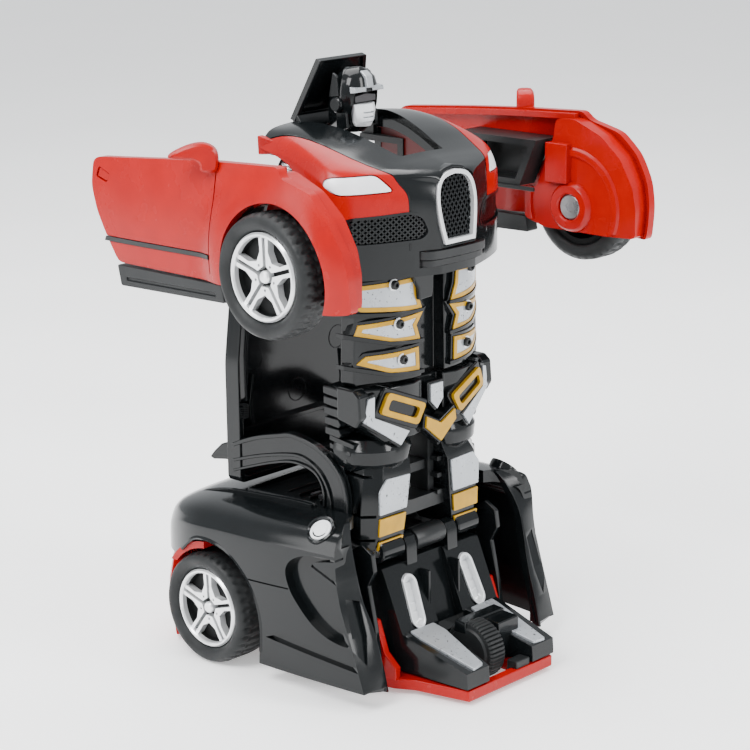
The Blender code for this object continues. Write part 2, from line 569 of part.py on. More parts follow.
def arm(side, tag):
    """Door and front wing with its wheel pocket, sill, bracket, link and wheel."""
    hx, hz = FRONT_HUB
    ex, ey = ELBOW_PIN
    ax, ay = ARM_PIN
    pivot = (ex, side * ey, 103.4)
    low, high = sided(side, 46.0, 48.6)
    panel = finish(f"arm_panel_{tag}", prism(DOOR, low, high), RED, pivot)
    rim = [(-21.6, 108.9), (-20.6, 111.2), (0.0, 112.9), (26.6, 114.2), (27.2, 111.4),
           (0.0, 110.3)]
    low, high = sided(side, 43.6, 46.4)
    fuse(panel, prism(rim, low, high))
    low, high = sided(side, 41.6, 49.4)
    fuse(panel, prism(FENDER, low, high))
    low, high = sided(side, 42.9, 60)
    cut(panel, rod(hx, hz, low, high, 13.9, 32))
    low, high = sided(side, 40.0, 41.9)
    fuse(panel, rod(hx, hz, low, high, 4.5, 20))
    cut(panel, rod(hx, hz, *sided(side, 38, 46), 1.9 + GAP, 16))
    mirror = [(11.0, 46.4), (15.4, 46.4), (14.6, 50.6), (10.6, 54.2), (6.4, 53.4), (9.6, 49.6)]
    fuse(panel, prism([(a, side * b) for a, b in mirror], 113.4, 117.6, "XY"))
    foot = box((11.6, 14.8), sided(side, 46.7, 48.3), (111.0, 114.6))
    fuse(panel, foot)

    low, high = sided(side, 45.4, 48.9)
    sill = [(-14.4, 89.9), (-13.2, 85.2), (17.4, 86.3), (16.6, 90.0)]
    finish(f"arm_sill_{tag}", prism(sill, low, high), SATIN, pivot)

    low, high = sided(side, 37.6, 45.7)
    holder = finish(f"arm_bracket_{tag}", prism(
        [(2.4, 98.2), (20.6, 98.2), (25.2, 108.6), (2.4, 108.6)], low, high), SATIN, pivot)
    low, high = sided(side, 30, 43.4)
    cut(holder, prism([(0, 99.6), (19.4, 99.6), (23.0, 107.2), (0, 107.2)], low, high))
    low, high = sided(side, 42.9, 50)
    cut(holder, rod(hx, hz, low, high, 13.9, 32))
    fuse(holder, post(ex, side * ey, 98.8, 108.0, 1.2))

    link_pivot = (ax, side * ay, 103.4)
    low, high = 100.2, 104.7
    bar = [(ax - 2.0, side * ay), (ax + 2.0, side * ay), (ex + 2.0, side * ey),
           (ex - 2.0, side * ey)]
    link = finish(f"arm_link_{tag}", prism(bar, low + 0.4, high - 0.4, "XY"), SATIN, link_pivot)
    fuse(link, post(ax, side * ay, low, high, 2.8, 20))
    fuse(link, post(ex, side * ey, low, 106.6, 2.5, 20))
    cut(link, post(ax, side * ay, 90, 120, 1.1 + GAP), post(ex, side * ey, 90, 120, 1.2 + GAP))

    finish(f"arm_pin_{tag}", post(ax, side * ay, 97.6, 111.8, 1.1), STEEL, link_pivot,
           smooth=True)
    coil = turned([(1.45, 105.0), (2.4, 105.0), (2.4, 109.4), (1.45, 109.4)],
                  (ax, side * ay, 0), "Z", 16, closed=True)
    finish(f"arm_spring_{tag}", coil, STEEL, link_pivot, smooth=True)
    finish(f"stub_axle_{tag}", rod(hx, hz, *sided(side, 40.6, 48.2), 1.9, 16), STEEL,
           (hx, side * 45, hz), smooth=True)
    wheel(f"front_{tag}", hx, hz, FRONT_FACE_Y, 7.4, side, 1.9 + GAP, 2.4)


def main():
    chassis_tray()
    rear_shell()
    foot_block()
    rear_caps()
    gearbox()
    gear_train()
    running_gear()
    roof()
    torso()
    chest()
    head()
    arm(1, "left")
    arm(-1, "right")


main()
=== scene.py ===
"""Looks of the transforming robot car.

Shapes are drawn in millimetres in the robot's own frame: +X its front, +Y its left, +Z up,
z = 0 the floor. piece() turns them into metres in the CAD's frame. Mirrored pieces are drawn
on the left, and pair() makes both, with left or right for each * in a name.
"""
import math

import bmesh
import bpy
from mathutils import Matrix, Vector
from mathutils.bvhtree import BVHTree


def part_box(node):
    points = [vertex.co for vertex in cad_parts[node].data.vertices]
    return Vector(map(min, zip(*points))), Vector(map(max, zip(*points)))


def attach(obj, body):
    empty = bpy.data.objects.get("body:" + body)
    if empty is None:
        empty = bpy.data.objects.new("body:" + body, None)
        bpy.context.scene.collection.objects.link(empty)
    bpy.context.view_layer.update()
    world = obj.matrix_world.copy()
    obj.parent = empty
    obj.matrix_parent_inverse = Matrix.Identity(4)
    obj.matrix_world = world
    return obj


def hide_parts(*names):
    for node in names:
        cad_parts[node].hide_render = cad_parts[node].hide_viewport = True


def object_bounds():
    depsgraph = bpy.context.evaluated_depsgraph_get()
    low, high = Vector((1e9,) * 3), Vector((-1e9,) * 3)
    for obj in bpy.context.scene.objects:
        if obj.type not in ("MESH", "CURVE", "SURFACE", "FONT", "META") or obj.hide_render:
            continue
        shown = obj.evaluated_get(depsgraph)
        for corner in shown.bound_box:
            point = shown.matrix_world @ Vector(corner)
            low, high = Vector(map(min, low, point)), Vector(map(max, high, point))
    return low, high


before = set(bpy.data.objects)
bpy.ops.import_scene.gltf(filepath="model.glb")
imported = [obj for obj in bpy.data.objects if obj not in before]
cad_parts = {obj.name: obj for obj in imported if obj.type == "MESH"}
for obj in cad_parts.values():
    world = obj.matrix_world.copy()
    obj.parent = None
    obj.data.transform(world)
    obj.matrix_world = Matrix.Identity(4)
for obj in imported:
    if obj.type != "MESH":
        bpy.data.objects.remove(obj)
CAD_LOW, CAD_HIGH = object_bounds()
MM = 0.001
TOE_X = 50.5                                  # drawing x of the toes, the CAD's front
X_MID = TOE_X - CAD_HIGH[0] / MM
SIDES = ((1, "left"), (-1, "right"))
WELD = 0.001                                  # vertices closer than this are one, in mm
BEVEL_FROM = math.radians(35)                 # only sharper edges than this are rounded


def middle(node):
    """Centre of a CAD node in drawing millimetres."""
    low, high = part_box(node)
    centre = [(a + b) / 2 / MM for a, b in zip(low, high)]
    return Vector((centre[0] + X_MID, centre[1], centre[2]))


REAR_HUB = middle("rear_left_tyre")
FRONT_HUB = middle("front_left_tyre")
SUPPORT_HUB = middle("support_wheel")
FOLD_PIN = middle("fold_pin")
TYRE_R = (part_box("rear_left_tyre")[1][2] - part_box("rear_left_tyre")[0][2]) / 2 / MM
RIM_R = TYRE_R * 0.715
REAR_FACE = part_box("rear_left_tyre")[1][1] / MM
FRONT_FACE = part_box("front_left_tyre")[1][1] / MM


# ---- materials
def surface(name, colour, roughness, metallic=0, mottle=0.06, scale=260, grain=0.02, specks=None,
        shine=0.5):
    """Moulded or painted surface: mottled colour, uneven gloss and a fine grain."""
    made = bpy.data.materials.new(name)
    made.use_nodes = True
    nodes, links = made.node_tree.nodes, made.node_tree.links
    shader = nodes["Principled BSDF"]
    shader.inputs["Metallic"].default_value = metallic
    shader.inputs["Specular IOR Level"].default_value = shine
    place = nodes.new("ShaderNodeTexCoord")

    def noise(size, detail):
        node = nodes.new("ShaderNodeTexNoise")
        node.inputs["Scale"].default_value = size
        node.inputs["Detail"].default_value = detail
        links.new(place.outputs["Object"], node.inputs["Vector"])
        return node

    def ramp(source, low, high, start=0.3, end=0.7):
        node = nodes.new("ShaderNodeValToRGB")
        node.color_ramp.elements[0].position = start
        node.color_ramp.elements[1].position = end
        node.color_ramp.elements[0].color = (*low, 1)
        node.color_ramp.elements[1].color = (*high, 1)
        links.new(source, node.inputs["Fac"])
        return node.outputs["Color"]

    cloud = noise(scale, 3)
    dark = tuple(c * (1 - mottle) for c in colour)
    light = tuple(min(1, c * (1 + mottle)) for c in colour)
    paint = ramp(cloud.outputs["Fac"], dark, light)
    if specks:
        fleck = nodes.new("ShaderNodeMixRGB")
        links.new(ramp(noise(1500, 2).outputs["Fac"], (0, 0, 0), (1, 1, 1), 0.66, 0.70),
            fleck.inputs["Fac"])
        links.new(paint, fleck.inputs["Color1"])
        fleck.inputs["Color2"].default_value = (*specks, 1)
        paint = fleck.outputs["Color"]
    links.new(paint, shader.inputs["Base Color"])
    gloss = ramp(noise(scale * 0.6, 4).outputs["Fac"], (roughness * 0.8,) * 3,
        (min(1, roughness * 1.25),) * 3)
    links.new(gloss, shader.inputs["Roughness"])
    bump = nodes.new("ShaderNodeBump")
    bump.inputs["Strength"].default_value = grain
    bump.inputs["Distance"].default_value = 0.0002
    links.new(noise(scale * 4, 2).outputs["Fac"], bump.inputs["Height"])
    links.new(bump.outputs["Normal"], shader.inputs["Normal"])
    return made


RED = surface("red_gloss", (0.30, 0.0012, 0.0008), 0.24, shine=0.22)
# Darker red for the inside of the chest opening: painted shade in the recess, which is the same
# red plastic as the outside.
RED_SHADED = surface("red_painted_shade", (0.07, 0.0015, 0.001), 0.4, shine=0.25)
BLACK = surface("black_gloss", (0.004, 0.005, 0.0055), 0.13, mottle=0.1, grain=0.01, shine=0.27)
SATIN = surface("black_satin", (0.008, 0.009, 0.0095), 0.38, grain=0.05, shine=0.3)
RUBBER = surface("tyre_rubber", (0.008, 0.009, 0.0095), 0.55, grain=0.2, mottle=0.2, shine=0.3)
WELL = surface("rim_well", (0.003, 0.0034, 0.0036), 0.5, shine=0.15)
FOIL = surface("silver_foil", (0.36, 0.38, 0.4), 0.3, 0.5, specks=(0.03, 0.03, 0.03))
LAMP = surface("lamp_foil", (0.8, 0.82, 0.84), 0.3, 0.1)
GOLD = surface("gold_paint", (0.40, 0.215, 0.002), 0.36, 0.2, mottle=0.16, shine=0.4)
CHROME = surface("chrome_foil", (0.8, 0.81, 0.82), 0.2, 0.6)
STEEL = surface("steel", (0.35, 0.35, 0.36), 0.3, 0.9)
CREAM = surface("gear_plastic", (0.62, 0.6, 0.5), 0.45)
GREY = surface("motor_case", (0.03, 0.03, 0.033), 0.45)


# ---- geometry in millimetres
def spline(points, steps, closed=False):
    """Catmull-Rom curve through tuples of any length."""
    count = len(points)
    made = []
    for i in range(count if closed else count - 1):
        if closed:
            four = [points[(i + k) % count] for k in (-1, 0, 1, 2)]
        else:
            four = [points[min(max(i + k, 0), count - 1)] for k in (-1, 0, 1, 2)]
        for s in range(steps):
            t = s / steps
            made.append(tuple(0.5 * (2 * b + (c - a) * t + (2 * a - 5 * b + 4 * c - d) * t * t +
                (3 * b - a - 3 * c + d) * t ** 3) for a, b, c, d in zip(*four)))
    if not closed:
        made.append(tuple(points[-1]))
    return made


def rounded(points, radius, steps=5):
    """Outline with its corners replaced by arcs."""
    made = []
    count = len(points)
    for i, corner in enumerate(points):
        before, after = Vector(points[i - 1]), Vector(points[(i + 1) % count])
        corner = Vector(corner)
        one, two = before - corner, after - corner
        reach = min(radius, one.length * 0.45, two.length * 0.45)
        start, end = corner + one.normalized() * reach, corner + two.normalized() * reach
        for s in range(steps + 1):
            t = s / steps
            made.append(tuple(start * (1 - t) ** 2 + corner * 2 * t * (1 - t) + end * t * t))
    return made


def inset(points, by):
    """Outline moved inward by a distance, with mitred corners."""
    count = len(points)
    area = sum(points[i - 1][0] * points[i][1] - points[i][0] * points[i - 1][1]
        for i in range(count))
    turn = 1 if area > 0 else -1
    made = []
    for i in range(count):
        before, here = Vector(points[i - 1]), Vector(points[i])
        after = Vector(points[(i + 1) % count])
        one, two = (here - before).normalized(), (after - here).normalized()
        normal_a, normal_b = Vector((-one.y, one.x)), Vector((-two.y, two.x))
        mitre = (normal_a + normal_b) * turn
        made.append(tuple(here + mitre * (by / max(0.35, mitre.length_squared / 2))))
    return made


def mirror(points):
    """Complete a half outline given at y >= 0 as (x, y)."""
    return points + [(x, -y) for x, y in reversed(points)]


def loft(rings, closed=False):
    bm = bmesh.new()
    loops = [[bm.verts.new(point) for point in ring] for ring in rings]
    pairs = list(zip(loops, loops[1:])) + ([(loops[-1], loops[0])] if closed else [])
    for near, far in pairs:
        for i in range(len(near)):
            j = (i + 1) % len(near)
            bm.faces.new((near[i], near[j], far[j], far[i]))
    if not closed:
        bm.faces.new(loops[0])
        bm.faces.new(loops[-1])
    return tidy(bm)


def tidy(bm):
    bmesh.ops.remove_doubles(bm, verts=bm.verts, dist=WELD)
    bmesh.ops.recalc_face_normals(bm, faces=bm.faces)
    return bm


def prism(outline, low, high, plane="XZ"):
    """Extrude an outline: XZ along y, XY along z, YZ along x."""
    order = {"XZ": lambda a, b, c: (a, c, b), "XY": lambda a, b, c: (a, b, c), "YZ": lambda a, b,
        c: (c, a, b)}[plane]
    return loft([[order(a, b, c) for a, b in outline] for c in (low, high)])


def xy(outline, low, high):
    return prism(outline, low, high, "XY")


def yz(outline, low, high):
    return prism(outline, low, high, "YZ")


def box(x, y, z):
    return xy([(x[0], y[0]), (x[1], y[0]), (x[1], y[1]), (x[0], y[1])], *z)


def turned(profile, centre, axis="Y", steps=48, closed=False):
    """Turn (radius, distance along the axis) points about an axis through centre."""
    bm = bmesh.new()
    rows = []
    for radius, along in profile:
        row = []
        for k in range(steps if radius > 0 else 1):
            turn = 2 * math.pi * k / steps
            a, b = radius * math.cos(turn), radius * math.sin(turn)
            shift = {"Y": (a, along, b), "Z": (a, b, along), "X": (along, a, b)}[axis]
            row.append(bm.verts.new([c + s for c, s in zip(centre, shift)]))
        rows.append(row)
    for near, far in list(zip(rows, rows[1:])) + ([(rows[-1], rows[0])] if closed else []):
        for k in range(steps):
            m = (k + 1) % steps
            if len(near) == 1:
                bm.faces.new((near[0], far[k], far[m]))
            elif len(far) == 1:
                bm.faces.new((near[k], near[m], far[0]))
            else:
                bm.faces.new((near[k], near[m], far[m], far[k]))
    return tidy(bm)


def rod(centre, low, high, radius, axis="Y", steps=32, edge=0):
    """Solid cylinder along an axis, with an optional chamfer."""
    profile = [(0, low), (radius - edge, low), (radius, low + edge), (radius, high - edge),
        (radius - edge, high), (0, high)]
    if not edge:
        profile = [(0, low), (radius, low), (radius, high), (0, high)]
    return turned(profile, centre, axis, steps)


def coil(centre, low, high, radius, wire, turns, axis="Z"):
    """Helical spring."""
    rings = []
    count = turns * 20
    for k in range(count + 1):
        turn = 2 * math.pi * k / 20
        along = low + wire + (high - low - 2 * wire) * k / count
        ring = []
        for m in range(8):
            lean = 2 * math.pi * m / 8
            reach = radius + wire * math.cos(lean)
            a, b = reach * math.cos(turn), reach * math.sin(turn)
            c = along + wire * math.sin(lean)
            shift = (a, b, c) if axis == "Z" else (a, c, b)
            ring.append([p + s for p, s in zip(centre, shift)])
        rings.append(ring)
    return loft(rings)


def join(*parts):
    """Put several meshes into one, without a Boolean."""
    base = parts[0]
    for part in parts[1:]:
        mesh = bpy.data.meshes.new("part")
        part.to_mesh(mesh)
        part.free()
        base.from_mesh(mesh)
        bpy.data.meshes.remove(mesh)
    return base


def boolean(base, tool, operation):
    made = []
    for bm in (base, tool):
        mesh = bpy.data.meshes.new("work")
        bm.to_mesh(mesh)
        bm.free()
        made.append(bpy.data.objects.new("work", mesh))
        bpy.context.collection.objects.link(made[-1])
    modifier = made[0].modifiers.new("work", "BOOLEAN")
    modifier.operation = operation
    modifier.object = made[1]
    graph = bpy.context.evaluated_depsgraph_get()
    result = bmesh.new()
    result.from_mesh(made[0].evaluated_get(graph).data)
    for used in made:
        bpy.data.objects.remove(used)
    return result


def cut(base, *tools):
    for tool in tools:
        base = boolean(base, tool, "DIFFERENCE")
    return base


def keep(base, tool):
    return boolean(base, tool, "INTERSECT")


def piece(name, bm, look, body, nodes=(), bevel=0, angle=32, segments=2):
    """Finish a millimetre mesh as a piece that rides on a body and stands for CAD nodes."""
    bmesh.ops.remove_doubles(bm, verts=bm.verts, dist=1.5 * WELD)
    for vert in bm.verts:
        vert.co = Vector(((vert.co.x - X_MID) * MM, vert.co.y * MM, vert.co.z * MM))
    mesh = bpy.data.meshes.new(name)
    bm.to_mesh(mesh)
    bm.free()
    mesh.materials.append(look)
    mesh.shade_smooth()
    mesh.set_sharp_from_angle(angle=math.radians(angle))
    made = bpy.data.objects.new(name, mesh)
    bpy.context.collection.objects.link(made)
    if bevel:
        soften(made, bevel, segments)
    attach(made, body)
    if nodes:
        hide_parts(*nodes)


def pair(name, bm, look, body, nodes=(), **finish):
    """Make a left-hand mesh and its mirror image into two pieces."""
    for side, tag in SIDES:
        hand = bm.copy()
        if side < 0:
            for vert in hand.verts:
                vert.co.y = -vert.co.y
            bmesh.ops.reverse_faces(hand, faces=hand.faces)
        nodes_here = [node.replace("*", tag) for node in nodes]
        piece(name.replace("*", tag), hand, look, body.replace("*", tag), nodes_here, **finish)
    bm.free()


def soften(thing, width, segments=2):
    """Round a piece's sharp edges."""
    modifier = thing.modifiers.new("edges", "BEVEL")
    modifier.width = width * MM
    modifier.segments = segments
    modifier.limit_method = "ANGLE"
    modifier.angle_limit = BEVEL_FROM
    modifier.harden_normals = True


def keep_nodes(look, *nodes, bevel=0):
    """Show CAD nodes as they are, in a better material."""
    for node in nodes:
        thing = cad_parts[node]
        thing.data.materials.clear()
        thing.data.materials.append(look)
        if bevel:
            soften(thing, bevel)


# ---- wheels
def tyre(name, hub, face, width, body, node):
    """Tyre with a rounded shoulder, a rib at the rim and notched tread."""
    inner = RIM_R
    profile = [(inner, 1), (inner + 0.3, 0.25), (inner + 0.9, -0.25), (inner + 1.7, -0.6),
        (TYRE_R - 1, -0.45), (TYRE_R - 0.45, 0.1), (TYRE_R - 0.14, 0.9), (TYRE_R, 1.7),
        (TYRE_R, 2.5), (TYRE_R, 3.2), (TYRE_R, width * 0.5), (TYRE_R, width - 3),
        (TYRE_R, width - 2.2), (TYRE_R - 0.15, width - 1), (TYRE_R - 1.2, width - 0.1),
        (inner + 0.6, width), (inner, width - 0.6)]
    steps = 216
    rings = []
    for k in range(steps):
        turn = 2 * math.pi * k / steps
        ring = []
        for row, (radius, inward) in enumerate(profile):
            block = (k + (2 if 8 <= row <= 10 else 0)) % 6
            if 6 <= row <= 12 and row != 9 and block < 2:
                radius -= 0.42
            if row == 9:
                radius -= 0.3
            ring.append((hub.x + radius * math.cos(turn), face - inward, hub.z + radius *
                math.sin(turn)))
        rings.append(ring)
    pair(name, loft(rings, closed=True), RUBBER, body, (node,), angle=50)


def rim(name, hub, face, width, body, node):
    """Dark dish, bright ring, five twin spokes with lug holes and a small hub cap."""
    inner = RIM_R
    centre = Vector((hub.x, 0, hub.z))

    def out(inward):
        return face - inward
    dish = turned([(0, out(2.6)), (inner - 1.2, out(2.6)), (inner - 0.7, out(0.9)),
        (inner - 0.15, out(0.9)), (inner - 0.15, out(width - 0.5)),
        (inner - 1.3, out(width - 0.5)), (inner - 1.6, out(3.6)), (0, out(3.6))], centre,
        steps=64)
    hub_tube = turned([(1, out(3.5)), (3.2, out(3.5)), (3, out(width - 0.8)),
        (2.2, out(width - 0.8)), (1, out(3.9))], centre, steps=32, closed=True)
    pair(f"{name}_dish", join(dish, hub_tube), WELL, body, (node,))
    ring = turned([(inner - 1.1, out(1.5)), (inner - 1.05, out(0.45)), (inner - 0.8, out(0.1)),
        (inner - 0.45, out(0.1)), (inner - 0.1, out(0.5)), (inner - 0.1, out(1.5))], centre,
        steps=96, closed=True)

    def polar(along, across, turn):
        return (hub.x + along * math.cos(turn) - across * math.sin(turn), hub.z + along *
            math.sin(turn) + across * math.cos(turn))
    reach = inner - 1
    twins = []
    for k in range(5):
        start = math.radians(90 + 72 * k)
        first, last = start, start + math.radians(72)
        half = (first + last) / 2
        outline = [polar(2.1, 0.4, first), polar(reach, 0.4, first), polar(reach, 1.25, first),
            polar(4.9, 1.1, first), polar(3.5, 0, half), polar(4.9, -1.1, last),
            polar(reach, -1.25, last), polar(reach, -0.4, last), polar(2.1, -0.4, last)]
        blade = prism(outline, out(2.4), out(0.75))
        for vert in blade.verts:
            near = math.hypot(vert.co.x - hub.x, vert.co.z - hub.z)
            vert.co.y += -0.35 * (1 - near / inner)
        hole = rod(Vector((hub.x + 2.6 * math.cos(half), 0, hub.z + 2.6 * math.sin(half))),
            out(1.9), out(-2), 0.3, steps=12)
        twins.append(cut(blade, hole))
    cap = turned([(1.25, out(2.4)), (1.25, out(1)), (1.05, out(0.7)), (0.6, out(0.6)),
        (0, out(0.58))], centre, steps=32)
    pair(f"{name}_spokes", join(ring, cap, *twins), CHROME, body, bevel=0.12)


def wheels():
    for end, hub, face, body, tyre_wide, rim_wide in (("rear", REAR_HUB, REAR_FACE, "rear_wheels",
            9.3, 9), ("front", FRONT_HUB, FRONT_FACE + 0.6, "front_wheel_*", 7.4, 7.2)):
        tyre(f"{end}_tyre_*", hub, face, tyre_wide, body, f"{end}_*_tyre")
        rim(f"{end}_rim_*", hub, face + (0.2 if end == "front" else 0), rim_wide, body,
            f"{end}_*_rim")
    steps = 176
    rings = []
    radius = SUPPORT_HUB.z
    for k in range(steps):
        turn = 2 * math.pi * k / steps
        notch = 0.45 if k % 4 < 1 else 0
        ring = []
        for reach, along in ((1.3, -3.3), (radius - 1.6, -3.3), (radius - 1.2, -2.9),
                (radius - 0.4 - notch * 0.6, -2.8), (radius - notch, -2.2), (radius - notch, 1.4),
                (radius - 0.4 - notch * 0.6, 2), (radius - 1.2, 2.1), (radius - 1.6, 2.4),
                (1.3, 2.4)):
            ring.append((SUPPORT_HUB.x + reach * math.cos(turn), along, SUPPORT_HUB.z + reach *
                math.sin(turn)))
        rings.append(ring)
    piece("support_roller", loft(rings, closed=True), RUBBER, "support_wheel", ("support_wheel",))
    keep_nodes(STEEL, "support_axle", "rear_axle", "flywheel")
    keep_nodes(CREAM, "axle_gear", "idler_gear")


# ---- base
def section(x, width, top, bottom, drop, push):
    """Car body section at x; push moves the skin inward."""
    width, top, bottom = width - push, top - push, bottom - push
    half = [(width, bottom), (width, (bottom + top - 8 * drop) / 2), (width, top - 8 * drop),
        (width - 0.5, top - 5 * drop), (width - 2.1, top - 2.4 * drop),
        (width * 0.78, top - 1 * drop), (width * 0.45, top - 0.3 * drop), (0, top)]
    curve = spline(half, 5)
    ring = curve + [(-y, z) for y, z in reversed(curve[:-1])]
    return [(x, y, z) for y, z in ring]


TAIL_STATIONS = [(-33.2, 15, 24, 12), (-31.6, 19.5, 28, 11), (-28, 24.5, 31.4, 10),
    (-22, 29, 34.2, 7), (-14, 31.9, 36, 4.2), (-4, 32.7, 37, 4.2), (8, 32.8, 37.6, 4.2),
    (20, 32.2, 38.2, 4.2), (30, 31.4, 38.4, 4.2), (38, 30.6, 38.4, 4.2)]
SHUT_LINE = [(27, 42), (27.8, 38), (29.2, 35.5), (29.9, 31), (30.3, 26), (31.1, 22), (33.2, 15.6),
    (35.7, 8.2), (36.9, 4.5), (37.4, 3)]
ARCH_EDGE = [(-19, -2), (-22, 8), (-20.4, 19), (-16, 23.7), (-12, 27), (-7.9, 27.9), (-3.4, 27.4),
    (0.9, 25.7), (4.3, 22.9), (6.6, 19.7), (8.1, 15.8), (8.7, 11.7), (8.5, 7), (8, -2)]


def skin(stations, drop, push):
    """Closed body volume, with its skin pushed inward."""
    rows = spline(stations, 6)
    first, last = rows[0][0], rows[-1][0]
    rings = []
    for x, width, top, bottom in rows:
        if push and x == first:
            x += push
        if push and x == last:
            x -= push
        rings.append(section(x, width, top, bottom - (16 if push else 0), drop, push))
    return loft(rings)


def tail_skin(push=0):
    return skin(TAIL_STATIONS, 1, push)


def nose_skin(push=0):
    return skin(NOSE_STATIONS, 0.9, push)


def tail_cut(outline, depth):
    """Tool that sinks an outline drawn in x, z into the tail's skin on both sides."""
    both = join(prism(outline, 24, 40), prism(outline, -40, -24))
    return cut(both, tail_skin(depth))


def rear_body():
    """Glossy rear body: arches, side intake, sill groove, shut face, rim ledge and deck."""
    shell = cut(tail_skin(), tail_skin(2.6))
    shell = cut(shell, prism(SHUT_LINE + [(60, 3), (60, 42)], -50, 50))
    shell = cut(shell, box((-8.6, 60), (-20.6, 20.6), (-5, 60)))
    for side in (1, -1):
        corner = [(24.6, side * 19), (25.4, side * 23.4), (30.3, side * 30.2), (44, side * 30.2),
            (44, side * 19)]
        shell = cut(shell, xy(corner, 33.6, 45))
    shell = cut(shell, box((30, 45), (-24.2, 24.2), (-5, 14)))
    under = [(-40, -2), (-16.2, -2), (-16.2, 17.5), (-17.5, 21.5), (-22, 21.4), (-40, 19)]
    shell = cut(shell, prism(under, -50, 50))
    intake = spline([(31.4, 31.7), (24.2, 31.6), (18.8, 29.9), (16.5, 27), (17.5, 23),
        (20.1, 19.6), (23.8, 16.3), (28.3, 14.2), (33, 13.7), (32.2, 16.2), (28.9, 18.9),
        (25.7, 21.9), (24, 25), (23.4, 28), (23.9, 29.9), (27.2, 30.9)], 4, closed=True)
    crease = [(23.6, 29.2), (23.9, 29.8), (31.6, 26.5), (31.8, 25.8)]
    sill = rounded([(10.4, 10.7), (15.7, 12.8), (35.4, 9.6), (35.6, 8.5)], 0.3)
    line = [(4.6, 22.15), (17.2, 22.75), (17.2, 23.1), (4.6, 22.5)]
    arch = spline(ARCH_EDGE, 4)
    shell = cut(shell, prism(arch, 21.8, 50), prism(arch, -50, -21.8))
    shell = cut(shell, tail_cut(intake, 2), tail_cut(sill, 0.9), tail_cut(line, 0.45),
        tail_cut(crease, 0.35))
    piece("rear_body", shell, BLACK, "base", ("rear_shell",), angle=38)
    lip = []
    for x, z in spline(ARCH_EDGE[3:-1], 5):
        away = Vector((x - REAR_HUB.x, z - REAR_HUB.z)).normalized()
        width = 32.8 - 0.9 * max(0, (-x - 4) / 12) ** 1.5
        lip.append([(x + away.x * r, width + h, z + away.y * r) for r, h in ((-0.1, -2),
            (-0.1, 0), (0.25, 0.2), (0.7, 0), (0.9, -0.6), (0.9, -2))])
    pair("arch_lip_*", loft(lip), BLACK, "base")
    inner = [(26.4, 23.2, 37.2), (28.2, 24.8, 34), (30.6, 26, 28.6), (32.4, 25.8, 22),
        (34.2, 24.9, 16.8), (36.5, 24.6, 9.6), (38, 24.4, 3.4)]
    tree = BVHTree.FromBMesh(tail_skin())
    face = []
    for x, y, z in spline(inner, 4):
        edge = next(a[0] + (b[0] - a[0]) * (z - a[1]) / (b[1] - a[1])
            for a, b in zip(SHUT_LINE, SHUT_LINE[1:]) if b[1] <= z <= a[1])
        edge = min(edge, 25.6 + max(0, 37.6 - z) * 1.75)
        spot = tree.ray_cast(Vector((edge, 60, z)), Vector((0, -1, 0)))[0]
        out = spot.y if spot else y + 0.8
        face.append([(x - 2, y, z), (x, y, z), (x + 0.1, y + 0.5, z), (edge, out, z),
            (edge - 1.6, out - 0.3, z)])
    wall = loft(face)
    pocket = [(26.8, 22.4), (29.8, 23.4), (30.5, 12.6), (28.4, 9.6), (26.9, 15.5)]
    wall = cut(wall, keep(yz(pocket, 30, 42), prism([(x + 0.2, z) for x, z in SHUT_LINE] +
        [(60, 3), (60, 42)], 20, 40)))
    pair("shut_face_*", wall, BLACK, "base")
    spots = [tree.find_nearest(Vector((23.7 + a, 28.9 + b, 36.1 - 0.8 * b)))
        for a, b in ((0, 0), (2, 0), (-2, 0), (0, 1.6), (0, -1.6))]
    pivot, lean = spots[0][0], sum((spot[1] for spot in spots), Vector())
    lean = lean.normalized() * (1 if lean.z > 0 else -1)
    lean = (lean + Vector((0.05, 0.3, 0))).normalized()
    centre = Vector((pivot.x, 0, pivot.z))
    y = pivot.y
    cap = turned([(0, y + 0.3), (1.5, y + 0.3), (1.55, y + 0.15), (1.8, y + 0.15),
        (1.85, y + 0.3), (2.35, y + 0.28), (2.45, y + 0.1), (2.45, y - 2), (0, y - 2)], centre,
        steps=40)
    collar = turned([(2.6, y - 2), (2.6, y + 0.3), (2.85, y + 0.6), (3.2, y + 0.5),
        (3.3, y - 0.3), (3.1, y - 2)], centre, steps=40, closed=True)
    tilt = Vector((0, 1, 0)).rotation_difference(lean).to_matrix()
    for bm in (cap, collar):
        for vert in bm.verts:
            vert.co = tilt @ (vert.co - pivot) + pivot
    pair("cap_*", cap, LAMP, "base", ("filler_cap_*",))
    pair("cap_collar_*", collar, BLACK, "base")
    rail = []
    for x, z in spline([(-27.2, 28.4), (-22.6, 32.4), (-17.3, 34.7), (-11.2, 36), (0, 37),
            (9, 37.7), (14, 37.8)], 6):
        rail.append([(x, 21.3, z - 1.2), (x, 22, z - 1.2), (x, 22, z + 0.2), (x, 21.3, z + 0.35)])
    pair("rim_rail_*", loft(rail), BLACK, "base", bevel=0.1)
    ledge = prism([(-6.4, 35), (-6, 37.4), (13, 38.3), (14.4, 37.9), (14.4, 35)], 20.5, 21.4)
    pair("rim_ledge_*", ledge, BLACK, "base", bevel=0.3)
    liner = turned([(13.1, 22.4), (13.1, 31.4), (14.6, 31.4), (14.6, 22.4)],
        Vector((REAR_HUB.x, 0, REAR_HUB.z)), steps=72, closed=True)
    liner = keep(liner, prism([(-27, 20.6), (-27, 30), (-9.5, 30), (-9.5, 20.6)], 20, 33))
    pair("arch_liner_*", liner, RED, "base")
    deck = prism([(-8.2, 33), (-8.2, 35.6), (0, 34.4), (15.5, 33.6), (16.5, 31.6), (15.5, 31.4)],
        -18.2, 18.2)
    louvres = [box((x, x + 0.9), (-12, 12), (33.2, 35.2 - 0.04 * k))
        for k, x in enumerate((-3.6, -0.4, 2.8, 6, 9.2))]
    piece("engine_deck", join(deck, *louvres), BLACK, "base", bevel=0.25)


